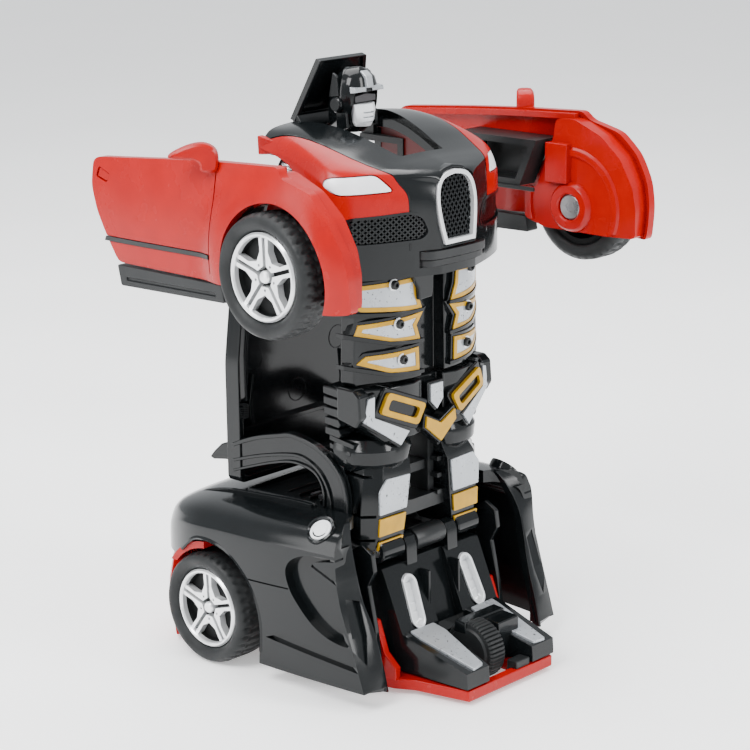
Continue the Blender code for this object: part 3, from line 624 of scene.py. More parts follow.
def chassis():
    """Red floor with a soft edge, and the wrap-round rear bumper."""
    plate = mirror([(-30, 14), (-27, 19.2), (30.5, 19.2), (34, 18.6), (38, 16.4), (50.4, 13.6)])
    floor = cut(xy(plate, 1, 3.4), box((33.4, 48.4), (-4.7, 4.7), (0, 6)))
    piece("floor_plate", floor, RED, "base", ("chassis_tray",), bevel=0.35)
    rings = []
    path = spline([(-22.7, 28.2), (-25.6, 25.6), (-28.6, 21), (-30.9, 13), (-31.6, 0)], 6)
    path = path + [(x, -y) for x, y in reversed(path[:-1])]
    for i, (x, y) in enumerate(path):
        before, after = path[max(i - 1, 0)], path[min(i + 1, len(path) - 1)]
        along = Vector((after[0] - before[0], after[1] - before[1], 0)).normalized()
        outward = Vector((along.y, -along.x, 0))
        outward = outward if outward.x < 0 else -outward
        ring = []
        for reach, height in ((0.2, 1.2), (0.6, 5), (1.3, 9), (1.2, 14), (0.2, 19.4),
                (-0.6, 21.6), (-2, 21.6), (-1.6, 16), (-1.2, 9), (-1.4, 1.2)):
            spot = Vector((x, y, height)) + outward * reach
            ring.append(tuple(spot))
        rings.append(ring)
    piece("rear_bumper", loft(rings), RED, "base", bevel=0.2)
    strip = prism([(27.2, 15.2), (29.2, 15), (31.6, 8.4), (34.8, 5.8), (34.8, 3), (30.4, 3)],
        17.2, 18.9)
    pair("side_strip_*", strip, RED, "base", bevel=0.25)


def capsule(half):
    """Round-ended slot outline on the foot's slope, as (y, z)."""
    made = []
    for (y, z), start in (((9, 20.8), 0), ((9.6, 14), 180)):
        for k in range(13):
            turn = math.radians(start + 15 * k)
            made.append((y + half * math.cos(turn), z + half * math.sin(turn)))
    return made


def feet():
    """Sloped foot moulding: two toes with capsule windows, foil plates and hinge lugs."""
    x, z = FOLD_PIN.x, FOLD_PIN.z
    plan = mirror([(19.5, 15.2), (33, 15.2), (50.4, 14)])
    foot = xy(plan, 3.8, 25)
    foot = keep(foot, prism([(19, 3.7), (19, 25.2), (27.2, 25.2), (28, 24.6), (33.4, 12),
        (50.2, 7.2), (50.5, 3.7)], -16, 16))
    foot = cut(foot, prism([(26.6, 26), (31.6, 10.5), (34.5, 8.5), (40, 30), (28, 30)], -4, 4))
    foot = cut(foot, xy(mirror([(33.6, 4.9), (52, 7.2)]), 2, 30))
    lug = [(x - 2.6, 24.2), (x + 2.4, 24.2), (x + 2.2, z), (x + 1.5, z + 1.6), (x, z + 2.2),
        (x - 1.7, z + 1.5), (x - 2.6, z)]
    for low, high in ((4.9, 8), (-8, -4.9)):
        foot = boolean(foot, prism(lug, low, high), "UNION")
    foot = cut(foot, rod(Vector((x, 0, z)), -20, 20, 1.55))
    for side in (1, -1):
        foot = cut(foot, yz([(side * y, z) for y, z in capsule(2)], 26.4, 40))
    piece("foot_moulding", foot, BLACK, "base", ("foot_block",), bevel=0.4, segments=3)
    slope = [(20, 3), (20, 30), (25.5, 30.5), (33.15, 12.5), (36.9, 3)]
    deep = [(20, 3), (20, 30), (24.6, 30.5), (32.2, 12.5), (36, 3)]
    ring = keep(cut(yz(capsule(2), 26, 36), yz(capsule(1.45), 20, 40)),
        prism([(x + 0.6, z) for x, z in slope], 0, 20))
    pair("foot_ring_*", ring, CHROME, "base", bevel=0.1)
    glow = keep(yz(capsule(1.5), 26, 36), prism(deep, 0, 20))
    for height in (14.6, 16.4, 18.9, 20.6):
        bar = prism([(24, height), (40, height), (40, height + 0.5), (24, height + 0.5)], 0, 20)
        glow = cut(glow, keep(bar, prism([(x + 6, z) for x, z in deep[:-1]] +
            [(32, 12.5), (24.3, 30.5)], 0, 20)))
    pair("foot_window_*", glow, CHROME, "base", bevel=0.12)
    top = [(33.9, 6), (37, 5.6), (49.6, 8.2), (50, 11.6), (36, 13.2), (33.8, 13.2)]
    plate = keep(xy(rounded(top, 0.4), 3, 14), prism([(33, 11.9), (33, 12.5), (50.6, 7.65),
        (50.6, 7.05)], 0, 20))
    pair("toe_plate_*", plate, FOIL, "base", bevel=0.08)
    wing = prism([(23.8, 3.2), (23.8, 29.8), (26.6, 31.6), (29.6, 30), (30.2, 26.2), (28.4, 22.8),
        (30.4, 14), (31.2, 8), (30, 3.2)], 19, 20.3)
    pair("foot_wing_*", wing, BLACK, "base", bevel=0.3)
    groove = box((29, 31.8), (4.4, 5), (13.5, 23))
    pair("foot_rib_*", groove, BLACK, "base", bevel=0.15)
    guard = join(prism([(36.6, 4), (44.6, 4), (44.6, 12.2), (36.8, 12.5)], 2.7, 9.3),
        prism([(37.2, 10.4), (40.6, 10.4), (40.6, 12.9), (37.6, 13.1)], -3.4, 9.3))
    piece("toe_guard", guard, BLACK, "base", bevel=0.3)
    sleeve = turned([(1.75, -4.5), (2.3, -4.5), (2.45, -4.1), (2.45, 4.1), (2.3, 4.5),
        (1.75, 4.5)], Vector((x, 0, z)), steps=40, closed=True)
    window = prism([(x - 6, z - 6), (x - 6, z + 1), (x - 0.5, z + 1), (x - 0.5, z - 6)], -3, 3)
    piece("hinge_sleeve", cut(sleeve, window), SATIN, "base")
    tab = box((47.2, 50), (2.2, 6.6), (2.6, 5))
    piece("latch_tab", tab, SATIN, "base", bevel=0.3)


# ---- roof
def roof():
    """Roof seen from inside: rimmed tray, window pillars, moulding marks, curved arms."""
    base_z, top_z = 37.3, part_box("roof_panel")[1][2] / MM
    back, front = -13.4, -9.3
    outer = [(20.2, base_z), (20.2, 64), (17.6, top_z - 0.4)]
    outer = outer + [(-y, z) for y, z in reversed(outer)]
    tray = yz(rounded(outer, 1.6), back, front)
    tray = cut(tray, yz(rounded(inset(outer, 1.3), 1.2), -11.9, 0))
    for side in (1, -1):
        window = [(17.2, 54.8), (19.6, 54.8), (19.6, 64), (17.5, 80), (15.3, 80), (17.2, 65)]
        window = rounded([(side * y, z) for y, z in window], 0.5)
        tray = cut(tray, yz(window, -20, 0))
    piece("roof_tray", tray, BLACK, "roof", ("roof_panel",), bevel=0.2)
    marks = [turned([(2.45, -12), (2.45, -11.75), (2.7, -11.75), (2.7, -12)], Vector((0, y, z)),
        "X", 40, closed=True) for y, z in ((-13, 63.6), (13, 63.6), (0, 54), (0, 74))]
    marks.append(box((-12, -10.4), (-18.8, 18.8), (48.2, 49.1)))
    for side in (1, -1):
        rail = [(side * 16.5, 55), (side * 17.1, 55), (side * 17.1, 65), (side * 15.2, 80),
            (side * 14.6, 80), (side * 16.5, 65)]
        marks.append(yz(rail, -12, -10.2))
        blade = [(side * 14.2, 49), (side * 15, 49), (side * 15.6, 54), (side * 14.4, 60.5),
            (side * 14, 60.5), (side * 14.6, 54)]
        marks.append(yz(blade, -12, -10.8))
    piece("roof_marks", join(*marks), BLACK, "roof", bevel=0.1)
    texture = []
    for row in range(5):
        for col in range(3):
            for side in (1, -1):
                y = sorted((side * (17.4 + col * 0.9), side * (18 + col * 0.9)))
                z = 52 + row * 0.5 + 0.2 * (col % 2)
                texture.append(box((-9.5, -9.15), y, (z, z + 0.3)))
    for side in (1, -1):
        y = sorted((side * 17.2, side * 20.1))
        texture.append(box((-11, -9.35), y, (51.6, 54.6)))
    piece("roof_grain", join(*texture), SATIN, "roof")
    wing = [(-13.2, 46), (-16.6, 44.7), (-19, 42.6), (-20.4, 41), (-19.2, 40.6), (-16, 41.2),
        (-13.2, 41.6)]
    piece("spoiler", prism(wing, -19, 19), BLACK, "roof", bevel=0.35, segments=3)
    outer = spline([(-11.6, 46.2), (-5, 48.9), (2.4, 50.9), (7.2, 51.7), (14.6, 50.2), (19.6, 47),
        (22, 43.6), (22.8, 39.1), (22.2, 34.8), (19.6, 32)], 5)
    inner = spline([(14.6, 34), (15.6, 38.5), (15.2, 41.8), (13.4, 44), (10.4, 45), (6, 45.1),
        (0, 43.6), (-6, 41.6), (-11.6, 39.6)], 5)
    foot = [(3.4, 31), (2.4, 32.6), (3.4, 34)]
    web = outer + foot + inner
    ridge = spline([(-11.6, 42.6), (-4, 45), (3.9, 46.9), (9.3, 47.4), (14.4, 45.4), (17.5, 41.4),
        (18.4, 36)], 5)

    def band(path, width, low, high):
        rings = []
        for i, (px, pz) in enumerate(path):
            before, after = path[max(i - 1, 0)], path[min(i + 1, len(path) - 1)]
            along = Vector((after[0] - before[0], after[1] - before[1])).normalized()
            across = Vector((along.y, -along.x))
            one, two = Vector((px, pz)), Vector((px, pz)) + across * width
            rings.append([(one.x, low, one.y), (one.x, high, one.y), (two.x, high, two.y),
                (two.x, low, two.y)])
        return loft(rings)
    pair("roof_arm_*", prism(web, 19, 19.8), BLACK, "roof", bevel=0.15)
    edges = join(band(outer, 0.9, 18.5, 20.4), band(ridge, 0.7, 18.7, 20.3),
        band(inner[4:], 0.6, 18.7, 20.3))
    pair("roof_arm_ridges_*", edges, BLACK, "roof", bevel=0.15)
    keep_nodes(STEEL, "roof_pin")


# ---- legs, waist, torso
def legs():
    """Square-shouldered shins with foil plates, a knuckle at the foot and a ribbed inside."""
    x, z = FOLD_PIN.x, FOLD_PIN.z
    def ring(height, inner, outer, front, back):
        return [(front, inner, height), (front, outer - 3.2, height),
            (front - 2.6, outer, height), (back + 1.6, outer, height),
            (back, outer - 1.6, height), (back, inner, height)]
    shin = loft([ring(28.6, 8.3, 17.6, 26.4, 17), ring(30.4, 7.7, 18.2, 27, 15.6),
        ring(37, 6.6, 18.4, 27.4, 14.6), ring(44.5, 5.8, 17.6, 27.6, 14.2),
        ring(47.2, 5.2, 16.4, 26.6, 15), ring(51.4, 5.2, 16.4, 25.6, 15.2)])
    for height in (30.9, 36.2, 44.7):
        shin = cut(shin, prism([(10, height + 0.6), (30, height), (30, height + 0.5),
            (10, height + 1.1)], 15.8, 30))
    pair("shin_*", shin, BLACK, "torso", ("leg_*",), bevel=0.35)
    knuckle = cut(rod(Vector((x, 0, z)), 8.5, 15.2, 2.5, edge=0.3),
        rod(Vector((x, 0, z)), 0, 30, 1.5))
    pair("knuckle_*", knuckle, BLACK, "torso")
    plates = ((FOIL, [(7.4, 36.9), (15.6, 36.9), (15.6, 42), (13.6, 44.4), (6.5, 44.1)]), (GOLD,
        [(8, 32.1), (15.6, 32.1), (15.5, 36), (7.5, 35.9)]), (GOLD, [(8.6, 28.9), (15.6, 28.9),
        (15.6, 30.9), (8.1, 30.9)]))
    for count, (look, outline) in enumerate(plates):
        plate = yz(rounded(outline, 0.25), 24, 28.4)
        layer = loft([[(front, y, height) for y in (5, 16.4)] +
            [(front + 0.45, y, height) for y in (16.4, 5)] for height, front in ((28.6, 26.35),
            (30.4, 26.95), (37, 27.35), (44.5, 27.55))])
        pair(f"shin_plate_{count}_*", keep(plate, layer), look, "torso", bevel=0.06)
    ribs = [box((16.8, 26), (4.3, 5.6), (zz, zz + 0.9)) for zz in (36.5, 40.2, 43.9, 47.6)]
    pair("shin_ribs_*", join(*ribs), SATIN, "torso")
    rows = []
    for height, inner, outer, front in ((45.6, 6.6, 17.6, 26.4), (47.6, 5.4, 18.6, 28),
            (50.4, 4.8, 18.8, 28.2), (52.8, 4.8, 18, 27)):
        half = [(front - 2.6, inner), (front, inner + 2), (front, outer - 6),
            (front - 2.2, outer - 2.2), (front - 6, outer), (16.4, outer - 0.8), (16, inner + 1)]
        rows.append([(a, b, height) for a, b in spline(half, 3, closed=True)])
    pair("thigh_*", loft(rows), BLACK, "torso", bevel=0.2)
    fins = [prism([(16.6, z), (23.4 - k, z - 0.8), (23.6 - k, z + 0.2), (16.6, z + 1.2)], 15.8,
        18.9) for k, z in enumerate((52, 50.2, 48.4, 46.6))]
    pair("thigh_fins_*", join(*fins), BLACK, "torso", bevel=0.15)
    keep_nodes(SATIN, "leg_bridge", bevel=0.2)
    keep_nodes(STEEL, "fold_pin")
    spring = coil(Vector((x, 0, z)), -4.3, 4.3, 1.95, 0.32, 9, "Y")
    piece("fold_coil", spring, STEEL, "base", ("fold_spring",))


def waist():
    """Waist with angled hip frames, ribbed sides, a centre arrow and a chevron."""
    half = [(28.6, 4), (29.4, 6.6), (28.4, 14), (25.4, 19), (20.6, 20.2), (17.4, 18.6)]
    core = xy(mirror(half), 52.6, 64.2)
    core = cut(core, xy(mirror([(26.8, 3.2), (33, 3.2)]), 50, 66))
    for side in (1, -1):
        corner = [(side * 11.4, 50), (side * 22.5, 50), (side * 22.5, 60)]
        core = cut(core, yz(corner, 10, 40))
    piece("waist_core", core, BLACK, "torso", ("waist_block",), bevel=0.4)
    gold_v = [(-4.7, 54.3), (0, 50.4), (4.7, 54.3), (4.4, 56.6), (0, 54.4), (-4.4, 56.6)]
    piece("waist_chevron_base", yz(inset(gold_v, -0.5), 27.6, 30.6), BLACK, "torso", bevel=0.3)
    piece("waist_chevron", yz(gold_v, 30.4, 31.1), GOLD, "torso", bevel=0.12)
    arrow = [(-1.9, 62.8), (-1.9, 59.2), (0, 57.2), (1.9, 59.2), (1.9, 62.8)]
    piece("waist_arrow_base", yz(inset(arrow, -0.5), 26.6, 29.4), BLACK, "torso", bevel=0.3)
    piece("waist_arrow", yz(arrow, 29.2, 29.9), FOIL, "torso", bevel=0.1)
    frame_line = [(4.1, 59.4), (6.6, 55.2), (16.2, 59.2), (14.2, 63.6)]

    def lean(bm):
        for vert in bm.verts:
            vert.co.x -= 0.012 * (vert.co.y - 4) ** 2
        return bm
    block = lean(yz(rounded(inset(frame_line, -0.9), 1), 26.4, 30))
    pair("hip_block_*", block, BLACK, "torso", bevel=0.35)
    ring = cut(yz(rounded(frame_line, 1), 29.8, 30.7), yz(rounded(inset(frame_line, 1.25), 0.8),
        29, 32))
    pair("hip_frame_*", lean(ring), GOLD, "torso", bevel=0.12)
    edge = [(16.9, 62.9), (18.4, 62.5), (19.5, 57.8), (10.7, 51.5), (8.4, 54.2), (17, 58.4)]
    base = lean(yz(inset(edge, -0.55), 25.6, 29.5))
    pair("hip_edge_base_*", base, BLACK, "torso", bevel=0.3)
    pair("hip_edge_*", lean(yz(edge, 29.3, 30)), FOIL, "torso", bevel=0.1)
    pods = [prism([(16.4, z), (20.4, z - 0.4), (21, z + 0.5), (20.4, z + 1.5), (16.4, z + 1.6)],
        15.6, 20.4 - 0.12 * k) for k, z in enumerate((62.4, 60.2, 58, 55.8, 53.6))]
    pair("hip_ribs_*", join(*pods), BLACK, "torso", bevel=0.2)
    pod = [(20.6, 57.6), (26, 56.4), (27.4, 58.6), (27, 63.4), (25.4, 64.6), (20.6, 64.6)]
    pair("hip_pod_*", prism(pod, 17.6, 20.8), BLACK, "torso", bevel=0.5, segments=3)


def front_curve(y):
    """Drawing x of the torso's front at a distance y from the middle."""
    return 29.2 - 0.034 * max(0, abs(y) - 6) ** 2


def layer(low, high):
    """Curved sheet in front of the torso, between two heights above its surface."""
    ys = [2 + 0.75 * k for k in range(26)]
    return loft([[(front_curve(y) + low, y, z) for y in ys] + [(front_curve(y) + high, y, z)
        for y in reversed(ys)] for z in (60, 90)])


BADGES = (([(6.2, 86.6), (12.6, 86.2), (19.7, 85.6), (19.7, 82), (17.8, 80.4), (4.4, 79.6),
    (5.9, 83.2)], (11.7, 85.6)), ([(4.2, 79), (18.2, 77.6), (18.9, 75.4), (11.6, 73.4),
    (5.1, 73.3), (6.2, 76.4)], (10.7, 77.3)), ([(5.6, 71.7), (17, 71), (18.6, 69.4), (12.4, 67.1),
    (5.4, 66.8)], (9.9, 69.7)))


def torso():
    """Barrel torso: three rows of bordered badges on each side of a dark channel."""
    rings = []
    for height, grow in ((64.8, 0.2), (65.4, 0.6), (72, 0.4), (79, 0.1), (86.4, 0), (87.1, -0.5)):
        half = [(front_curve(4.3) - 0.6 + grow * 0.3, 4.3)]
        half += [(front_curve(y) - 0.6, y) for y in (7, 10, 13, 16)]
        half += [(24.2, 18.6 + grow), (20.8, 19 + grow), (19.8, 18)]
        rings.append([(a, b, height) for a, b in mirror(half)])
    core = cut(loft(rings), xy(mirror([(25.8, 3.4), (40, 3.9)]), 60, 90))
    core = cut(core, box((10, 25.6), (-15.2, 15.2), (66.6, 90)))
    piece("torso_core", core, BLACK, "torso", ("torso_front",), bevel=0.25)
    channel = box((24.9, 25.75), (-3.2, 3.2), (65.2, 87))
    piece("torso_channel", channel, SATIN, "torso")
    keep_nodes(SATIN, "torso_back", bevel=0.3)
    keep_nodes(STEEL, "chest_pin")
    bracket = yz([(-6.2, 81.7), (-2.4, 81.9), (-2, 84.2), (-2, 87.2), (-8.2, 87.2), (-6.4, 84.2)],
        29.4, 30.9)
    piece("torso_plate", bracket, BLACK, "torso", bevel=0.3)
    for row, (outline, bolt) in enumerate(BADGES):
        pad = keep(layer(-1.2, 0.3), yz(inset(outline, -0.7), 18, 34))
        pair(f"badge_pad_{row}_*", pad, BLACK, "torso", bevel=0.15)
        gold = keep(layer(0.2, 0.62), yz(outline, 18, 34))
        gold = cut(gold, yz(inset(outline, 0.95), 18, 34))
        pair(f"badge_border_{row}_*", gold, GOLD, "torso", bevel=0.05)
        foil = keep(layer(0.2, 0.5), yz(inset(outline, 0.93), 18, 34))
        pair(f"badge_foil_{row}_*", foil, FOIL, "torso")
        spot = Vector((front_curve(bolt[0]), bolt[0], bolt[1]))
        boss = turned([(0, 1.05), (0.45, 1.05), (0.45, 1.45), (0.8, 1.45), (0.98, 1.2),
            (0.98, -0.4), (0, -0.4)], spot, "X", 28)
        pair(f"bolt_{row}_*", boss, SATIN, "torso")
        halo = turned([(1, 0.4), (1, 0.68), (1.28, 0.68), (1.28, 0.4)], spot, "X", 28,
            closed=True)
        pair(f"bolt_ring_{row}_*", halo, LAMP, "torso")
    for row, (inner, outer) in enumerate(((79, 79.3), (72.5, 74.9), (65.9, 68.3))):
        band = [(4, inner), (12.5, inner + (outer - inner) * 0.2), (20.6, outer),
            (20.6, outer + 1), (12.5, inner + (outer - inner) * 0.2 + 0.85), (4, inner + 0.8)]
        rib = keep(layer(-1.5, 0.85), yz(band, 14, 34))
        pair(f"torso_rib_{row}_*", rib, BLACK, "torso", bevel=0.12)


# ---- chest
NOSE_STATIONS = [(0, 21.6, 116.6, 86), (6, 22.6, 116.9, 86), (12, 23.6, 116, 86),
    (18, 24.6, 114.2, 86), (23, 25, 112.2, 86), (27, 22.6, 110.8, 86), (30, 18.6, 110, 86),
    (33, 12.6, 109.2, 86), (35, 7.6, 108.4, 86), (36, 5, 106.6, 86)]
HOOD_EDGE = [(-2, 20.8), (8, 20), (16, 19), (21.5, 17.8), (28.3, 15.3), (31.4, 13.5),
    (33.4, 11.6), (36, 11), (40, 11)]
OPENING = [(-2, 12.8), (26, 6.5)]
LAMP_LINE = [(24.9, 106.8), (24.1, 105.3), (14.7, 105.6), (17.2, 108.8), (24.2, 108.5)]
MESH_LINE = [(22.9, 100.4), (11.4, 101), (9, 100), (7.6, 96.6), (9.3, 95.2), (21.9, 94.9),
    (23.8, 95.8), (24.6, 98.6)]
RED_FOOT = [(11.2, 101.1), (23.2, 100.4), (23.2, 95.4)]
ARCH = [(4.6, 93.7), (5.6, 98), (6.1, 102.5), (5.4, 106), (3.4, 108), (0, 108.7)]


def nose(push=0, thick=1.7):
    """Hollow nose: its skin pushed inward by push, and open below, behind and at the sides."""
    shell = cut(nose_skin(push), nose_skin(push + thick))
    flank = spline([(-5, 112.2), (3, 111.6), (10, 110), (14.4, 107), (17.4, 104), (20, 98),
        (20.4, 88), (20.4, 60)], 4) + [(-5, 60)]
    return cut(shell, prism(flank, -40, 40), box((-5, 45), (-40, 40), (50, 87.8)),
        box((-5, 0.45), (-40, 40), (50, 125)))


def nose_plate(outline, low, high):
    """Plate behind an outline in y, z that follows the nose's skin between two depths."""
    tree = BVHTree.FromBMesh(nose_skin())
    ys = [4 + 0.55 * k for k in range(40)]
    zs = [92 + 0.55 * k for k in range(35)]
    rows, depth = [], [34] * len(zs)
    for y in ys:
        for k, z in enumerate(zs):
            spot = tree.ray_cast(Vector((60, y, z)), Vector((-1, 0, 0)))[0]
            depth[k] = spot.x if spot else depth[k]
        front = list(zip(depth, zs))
        rows.append([(x - low, y, z) for x, z in front] +
            [(x - high, y, z) for x, z in reversed(front)])
    return keep(loft(rows), yz(outline, 5, 60))


def bars(low, high, bottom, top, pitch, width, x_low, x_high, lean):
    """Parallel slanting bars over a rectangle in the y, z plane."""
    made = []
    rise = top - bottom
    y = low - rise
    while y < high + rise:
        outline = [(y, bottom), (y + width, bottom), (y + width + rise * lean, top),
            (y + rise * lean, top)]
        made.append(yz(outline, x_low, x_high))
        y += pitch
    return join(*made)


def chest():
    """Car nose: black hood band, red sides, lamps, arched and side grilles, bumper lip."""
    band = mirror(spline(HOOD_EDGE, 4))
    wide = mirror([(x, y + 0.3) for x, y in spline(HOOD_EDGE, 4)])
    mouth = mirror(OPENING)
    arch = spline(ARCH, 5)
    arch = arch + [(-y, z) for y, z in reversed(arch[:-1])]
    hood = keep(cut(nose(), xy(mouth, 104, 125)), xy(band, 93.4, 125))
    hood = cut(hood, yz(inset(arch, -0.3), 28, 40))
    below = mirror([(z, y) for y, z in [(40, 80), (40, 95.4)] + RED_FOOT[::-1]])
    bumper = keep(nose(), yz([(y, z) for z, y in below], 15, 45))
    bumper = cut(bumper, xy(wide, 93.4, 125), box((28, 45), (-9.9, 9.9), (89.5, 93)))
    for side in (1, -1):
        hole = rounded([(side * y, z) for y, z in MESH_LINE], 1.6)
        bumper = cut(bumper, yz(hole, 15, 45))
        hood = cut(hood, yz(hole, 15, 45))
    piece("hood", hood, BLACK, "chest", ("hood_panel",))
    piece("nose_bumper", bumper, BLACK, "chest", ("lower_bumper",))
    lens = rounded(LAMP_LINE, 0.8)
    hole = yz(rounded(MESH_LINE, 1.6), 15, 45)
    red = keep(nose(), box((-5, 45), (0.1, 40), (95.5, 125)))
    red = cut(red, xy(wide, 80, 125), yz(inset(lens, -0.25), 21.2, 45))
    red = cut(red, yz([(0, 80), (0, 101.3)] + RED_FOOT + [(23.2, 80)], 15, 45), hole)
    pair("nose_side_*", red, RED, "chest", ("nose_*",))
    pair("lamp_*", nose_plate(lens, 0.2, 1.6), LAMP, "chest", ("headlight_*",))
    grow = rounded(inset(MESH_LINE, -0.4), 1.6)
    pair("mesh_back_*", nose_plate(grow, 1.2, 2), SATIN, "chest")
    for lean in (1, -1):
        wires = keep(nose_plate(grow, 0.5, 1.1), bars(4, 27, 93, 102, 1.15, 0.42, 14, 40, lean))
        pair(f"mesh_{'up' if lean > 0 else 'down'}_*", wires, BLACK, "chest")
    brow = cut(nose_plate(rounded(inset(MESH_LINE, -0.3), 1.8), -0.12, 1.3),
        yz(rounded(inset(MESH_LINE, 0.25), 1.4), 10, 46))
    pair("mesh_frame_*", brow, BLACK, "chest")

    def lean_back(bm):
        for vert in bm.verts:
            vert.co.x += 0.9 - 0.11 * (vert.co.z - 93.7)
        return bm
    collar = cut(yz(inset(arch, -0.75), 32.4, 35.2), yz(arch, 30, 38))
    piece("grille_collar", lean_back(collar), BLACK, "chest", bevel=0.3)
    ring = cut(yz(inset(arch, 0.1), 33.4, 35.7), yz(inset(arch, 1), 30, 38))
    piece("grille_ring", lean_back(ring), CHROME, "chest", ("front_grille",), bevel=0.2)
    back = yz(inset(arch, 0.6), 33.2, 34)
    piece("grille_back", lean_back(back), SATIN, "chest")
    for lean in (1, -1):
        net = keep(yz(inset(arch, 0.9), 33.8, 34.7), bars(-7, 7, 93, 110, 1.25, 0.45, 32, 37,
            0.75 * lean))
        piece(f"grille_net_{'up' if lean > 0 else 'down'}", lean_back(net), BLACK, "chest")

    tab = prism([(-0.4, 110.4), (3.8, 110.9), (3.9, 113.8), (-0.6, 114.4)], 19.6, 21.2)
    pair("nose_tab_*", tab, RED, "chest", bevel=0.3)
    horn = prism([(4.2, 108.6), (5.8, 111.2), (8.4, 111.4), (13, 110.2), (13, 106), (6, 105.4)],
        18.4, 20.2)
    pair("shoulder_plate_*", horn, BLACK, "chest", bevel=0.3)
    coil_out = coil(Vector((9.6, 21.9, 0)), 106.2, 110.4, 1.35, 0.3, 6)
    pair("shoulder_spring_*", coil_out, STEEL, "chest")
    lip = mirror(spline([(31.4, 9.7), (34.4, 9.5), (36.3, 7), (36.8, 0.05)], 4))
    trigger = join(xy(lip, 91.1, 92.8), xy(inset(lip, 0.5), 89.6, 90.9),
        box((22, 33), (-2.4, 2.4), (90.4, 91.7)))
    piece("bumper_lip", trigger, SATIN, "trigger", ("bumper_trigger",), bevel=0.35, segments=3)

    rim_ring = cut(xy(inset(mouth, -1.3), 104.6, 125), xy(mouth, 100, 126))
    rim_ring = keep(rim_ring, nose_skin(0.12))
    tub = cut(xy(inset(mouth, -1.2), 99.6, 125), xy(inset(mouth, -0.15), 99, 126))
    tub = cut(keep(tub, nose_skin(3.6)), box((-5, 1.2), (-20, 20), (90, 126)))
    rim_ring = cut(rim_ring, box((-5, 1.2), (-20, 20), (100, 126)), nose_skin(3.6))
    piece("opening_wall", rim_ring, BLACK, "chest")
    # The tub inside the opening is darker red as painted shade.
    piece("opening_tub", tub, RED_SHADED, "chest")
    drum = turned([(0, -6), (1.9, -6), (2.2, -5.6), (2.2, 5.6), (1.9, 6), (0, 6)],
        Vector((12, 0, 100.4)), steps=40)
    piece("opening_drum", drum, SATIN, "chest")
    piece("opening_coil", coil(Vector((18, -2.4, 0)), 101.4, 106.4, 1.1, 0.26, 7), STEEL, "chest")
    keep_nodes(SATIN, "chest_frame", bevel=0.2)
    keep_nodes(STEEL, "arm_pin_left", "arm_pin_right")
    spot = middle("arm_pin_left")
    pair("shoulder_coil_*", coil(Vector((spot.x, spot.y, 0)), 104.9, 109.7, 1.9, 0.3, 6), STEEL,
        "chest", ("arm_spring_*",))


# ---- head
def head():
    """Rimmed lid and a plain robot head: rounded helmet, visor slot and a ridged mask."""
    low, high = (116, 128.6)

    def slab(grow, near, far):
        rings = []
        for height, half, x in ((low - grow, 10.5 + grow, -0.3),
                (high + grow * 0.5, 7 + grow, 4.1)):
            rings.append([(x - near, half, height), (x - near, -half, height),
                (x - far, -half, height + 0.45), (x - far, half, height + 0.45)])
        return loft(rings)
    lid = cut(slab(0, 0, 1.4), slab(-1.1, -0.5, 0.55))
    piece("lid", lid, BLACK, "head", ("head_flap",), bevel=0.3, segments=3)
    hinge = join(prism([(-1.4, 116.4), (0.2, 117.4), (1.9, 115.2), (1.3, 113.7), (-0.3, 113.6)],
        -10.2, 10.2), rod(Vector((0.6, 0, 114.6)), -11.4, 11.4, 0.7))
    piece("lid_hinge", hinge, BLACK, "head", bevel=0.2)

    def ring(height, back, front, half):
        quarter = [(front, 0), (front - 0.15, half * 0.45), (front - 1.3, half * 0.86),
            (front - 3, half), ((back + front) / 2 - 0.6, half), (back, half * 0.8)]
        curve = spline(quarter, 3)
        return [(x, y, height) for x, y in curve + [(x, -y) for x, y in reversed(curve[1:])]]
    helmet = loft([ring(113.6, 2.6, 8.8, 2.6), ring(114.6, 2.4, 9.6, 3.3),
        ring(116.6, 2.6, 10.4, 4.2), ring(119.4, 3.2, 10.9, 4.8), ring(122.6, 4.2, 11.2, 4.9),
        ring(125, 5, 10.8, 4.2), ring(126.5, 6, 9.6, 2.9), ring(127.1, 6.8, 8.8, 1.4)])
    helmet = cut(helmet, yz(rounded([(-3.3, 114.8), (3.3, 114.8), (3.7, 119), (3.4, 122.2),
        (-3.4, 122.2), (-3.7, 119)], 0.6), 8.9, 15))
    piece("helmet", helmet, BLACK, "head", ("head_helmet",), bevel=0.15)
    mask = []
    for height, front, half in ((114.9, 10.9, 2), (116, 11.4, 2.7), (118.2, 11.5, 3),
            (119.6, 11.1, 3.1)):
        mask.append([(8.6, half, height), (front - 1.3, half, height),
            (front, half * 0.35, height), (front, -half * 0.35, height),
            (front - 1.3, -half, height), (8.6, -half, height)])
    face = loft(mask)
    for height in (115.7, 116.7, 117.7):
        face = cut(face, box((10.4, 13), (-1.5, 1.5), (height, height + 0.3)))
    piece("mask", face, LAMP, "head", ("face_plate",), bevel=0.15)
    visor = yz(rounded([(-3.1, 120), (3.1, 120), (3.1, 121.3), (0, 121.7), (-3.1, 121.3)], 0.3),
        8.6, 10.2)
    piece("visor", visor, GREY, "head", bevel=0.1)
    crest = prism([(10.3, 122.8), (11.8, 123), (11.3, 125.5), (9.9, 126.5), (9, 126.1),
        (10.1, 124.8)], -1, 1)
    piece("crest", crest, FOIL, "head", bevel=0.2)
    ear = join(rod(Vector((6.6, 0, 119.6)), 4.5, 5.6, 1.7, edge=0.3), prism([(4.6, 121),
        (7.6, 121.4), (6.9, 125.6), (5.8, 126.2)], 4.6, 5.3), prism([(6.4, 113.9), (9.3, 114.8),
        (9, 118), (6.2, 118)], 4, 4.8))
    pair("ear_*", ear, BLACK, "head", bevel=0.15)
    brow = prism([(9.9, 122), (11.5, 122.3), (11.3, 123.2), (9.7, 123.4)], 0.9, 4.3)
    pair("brow_*", brow, FOIL, "head", bevel=0.12)


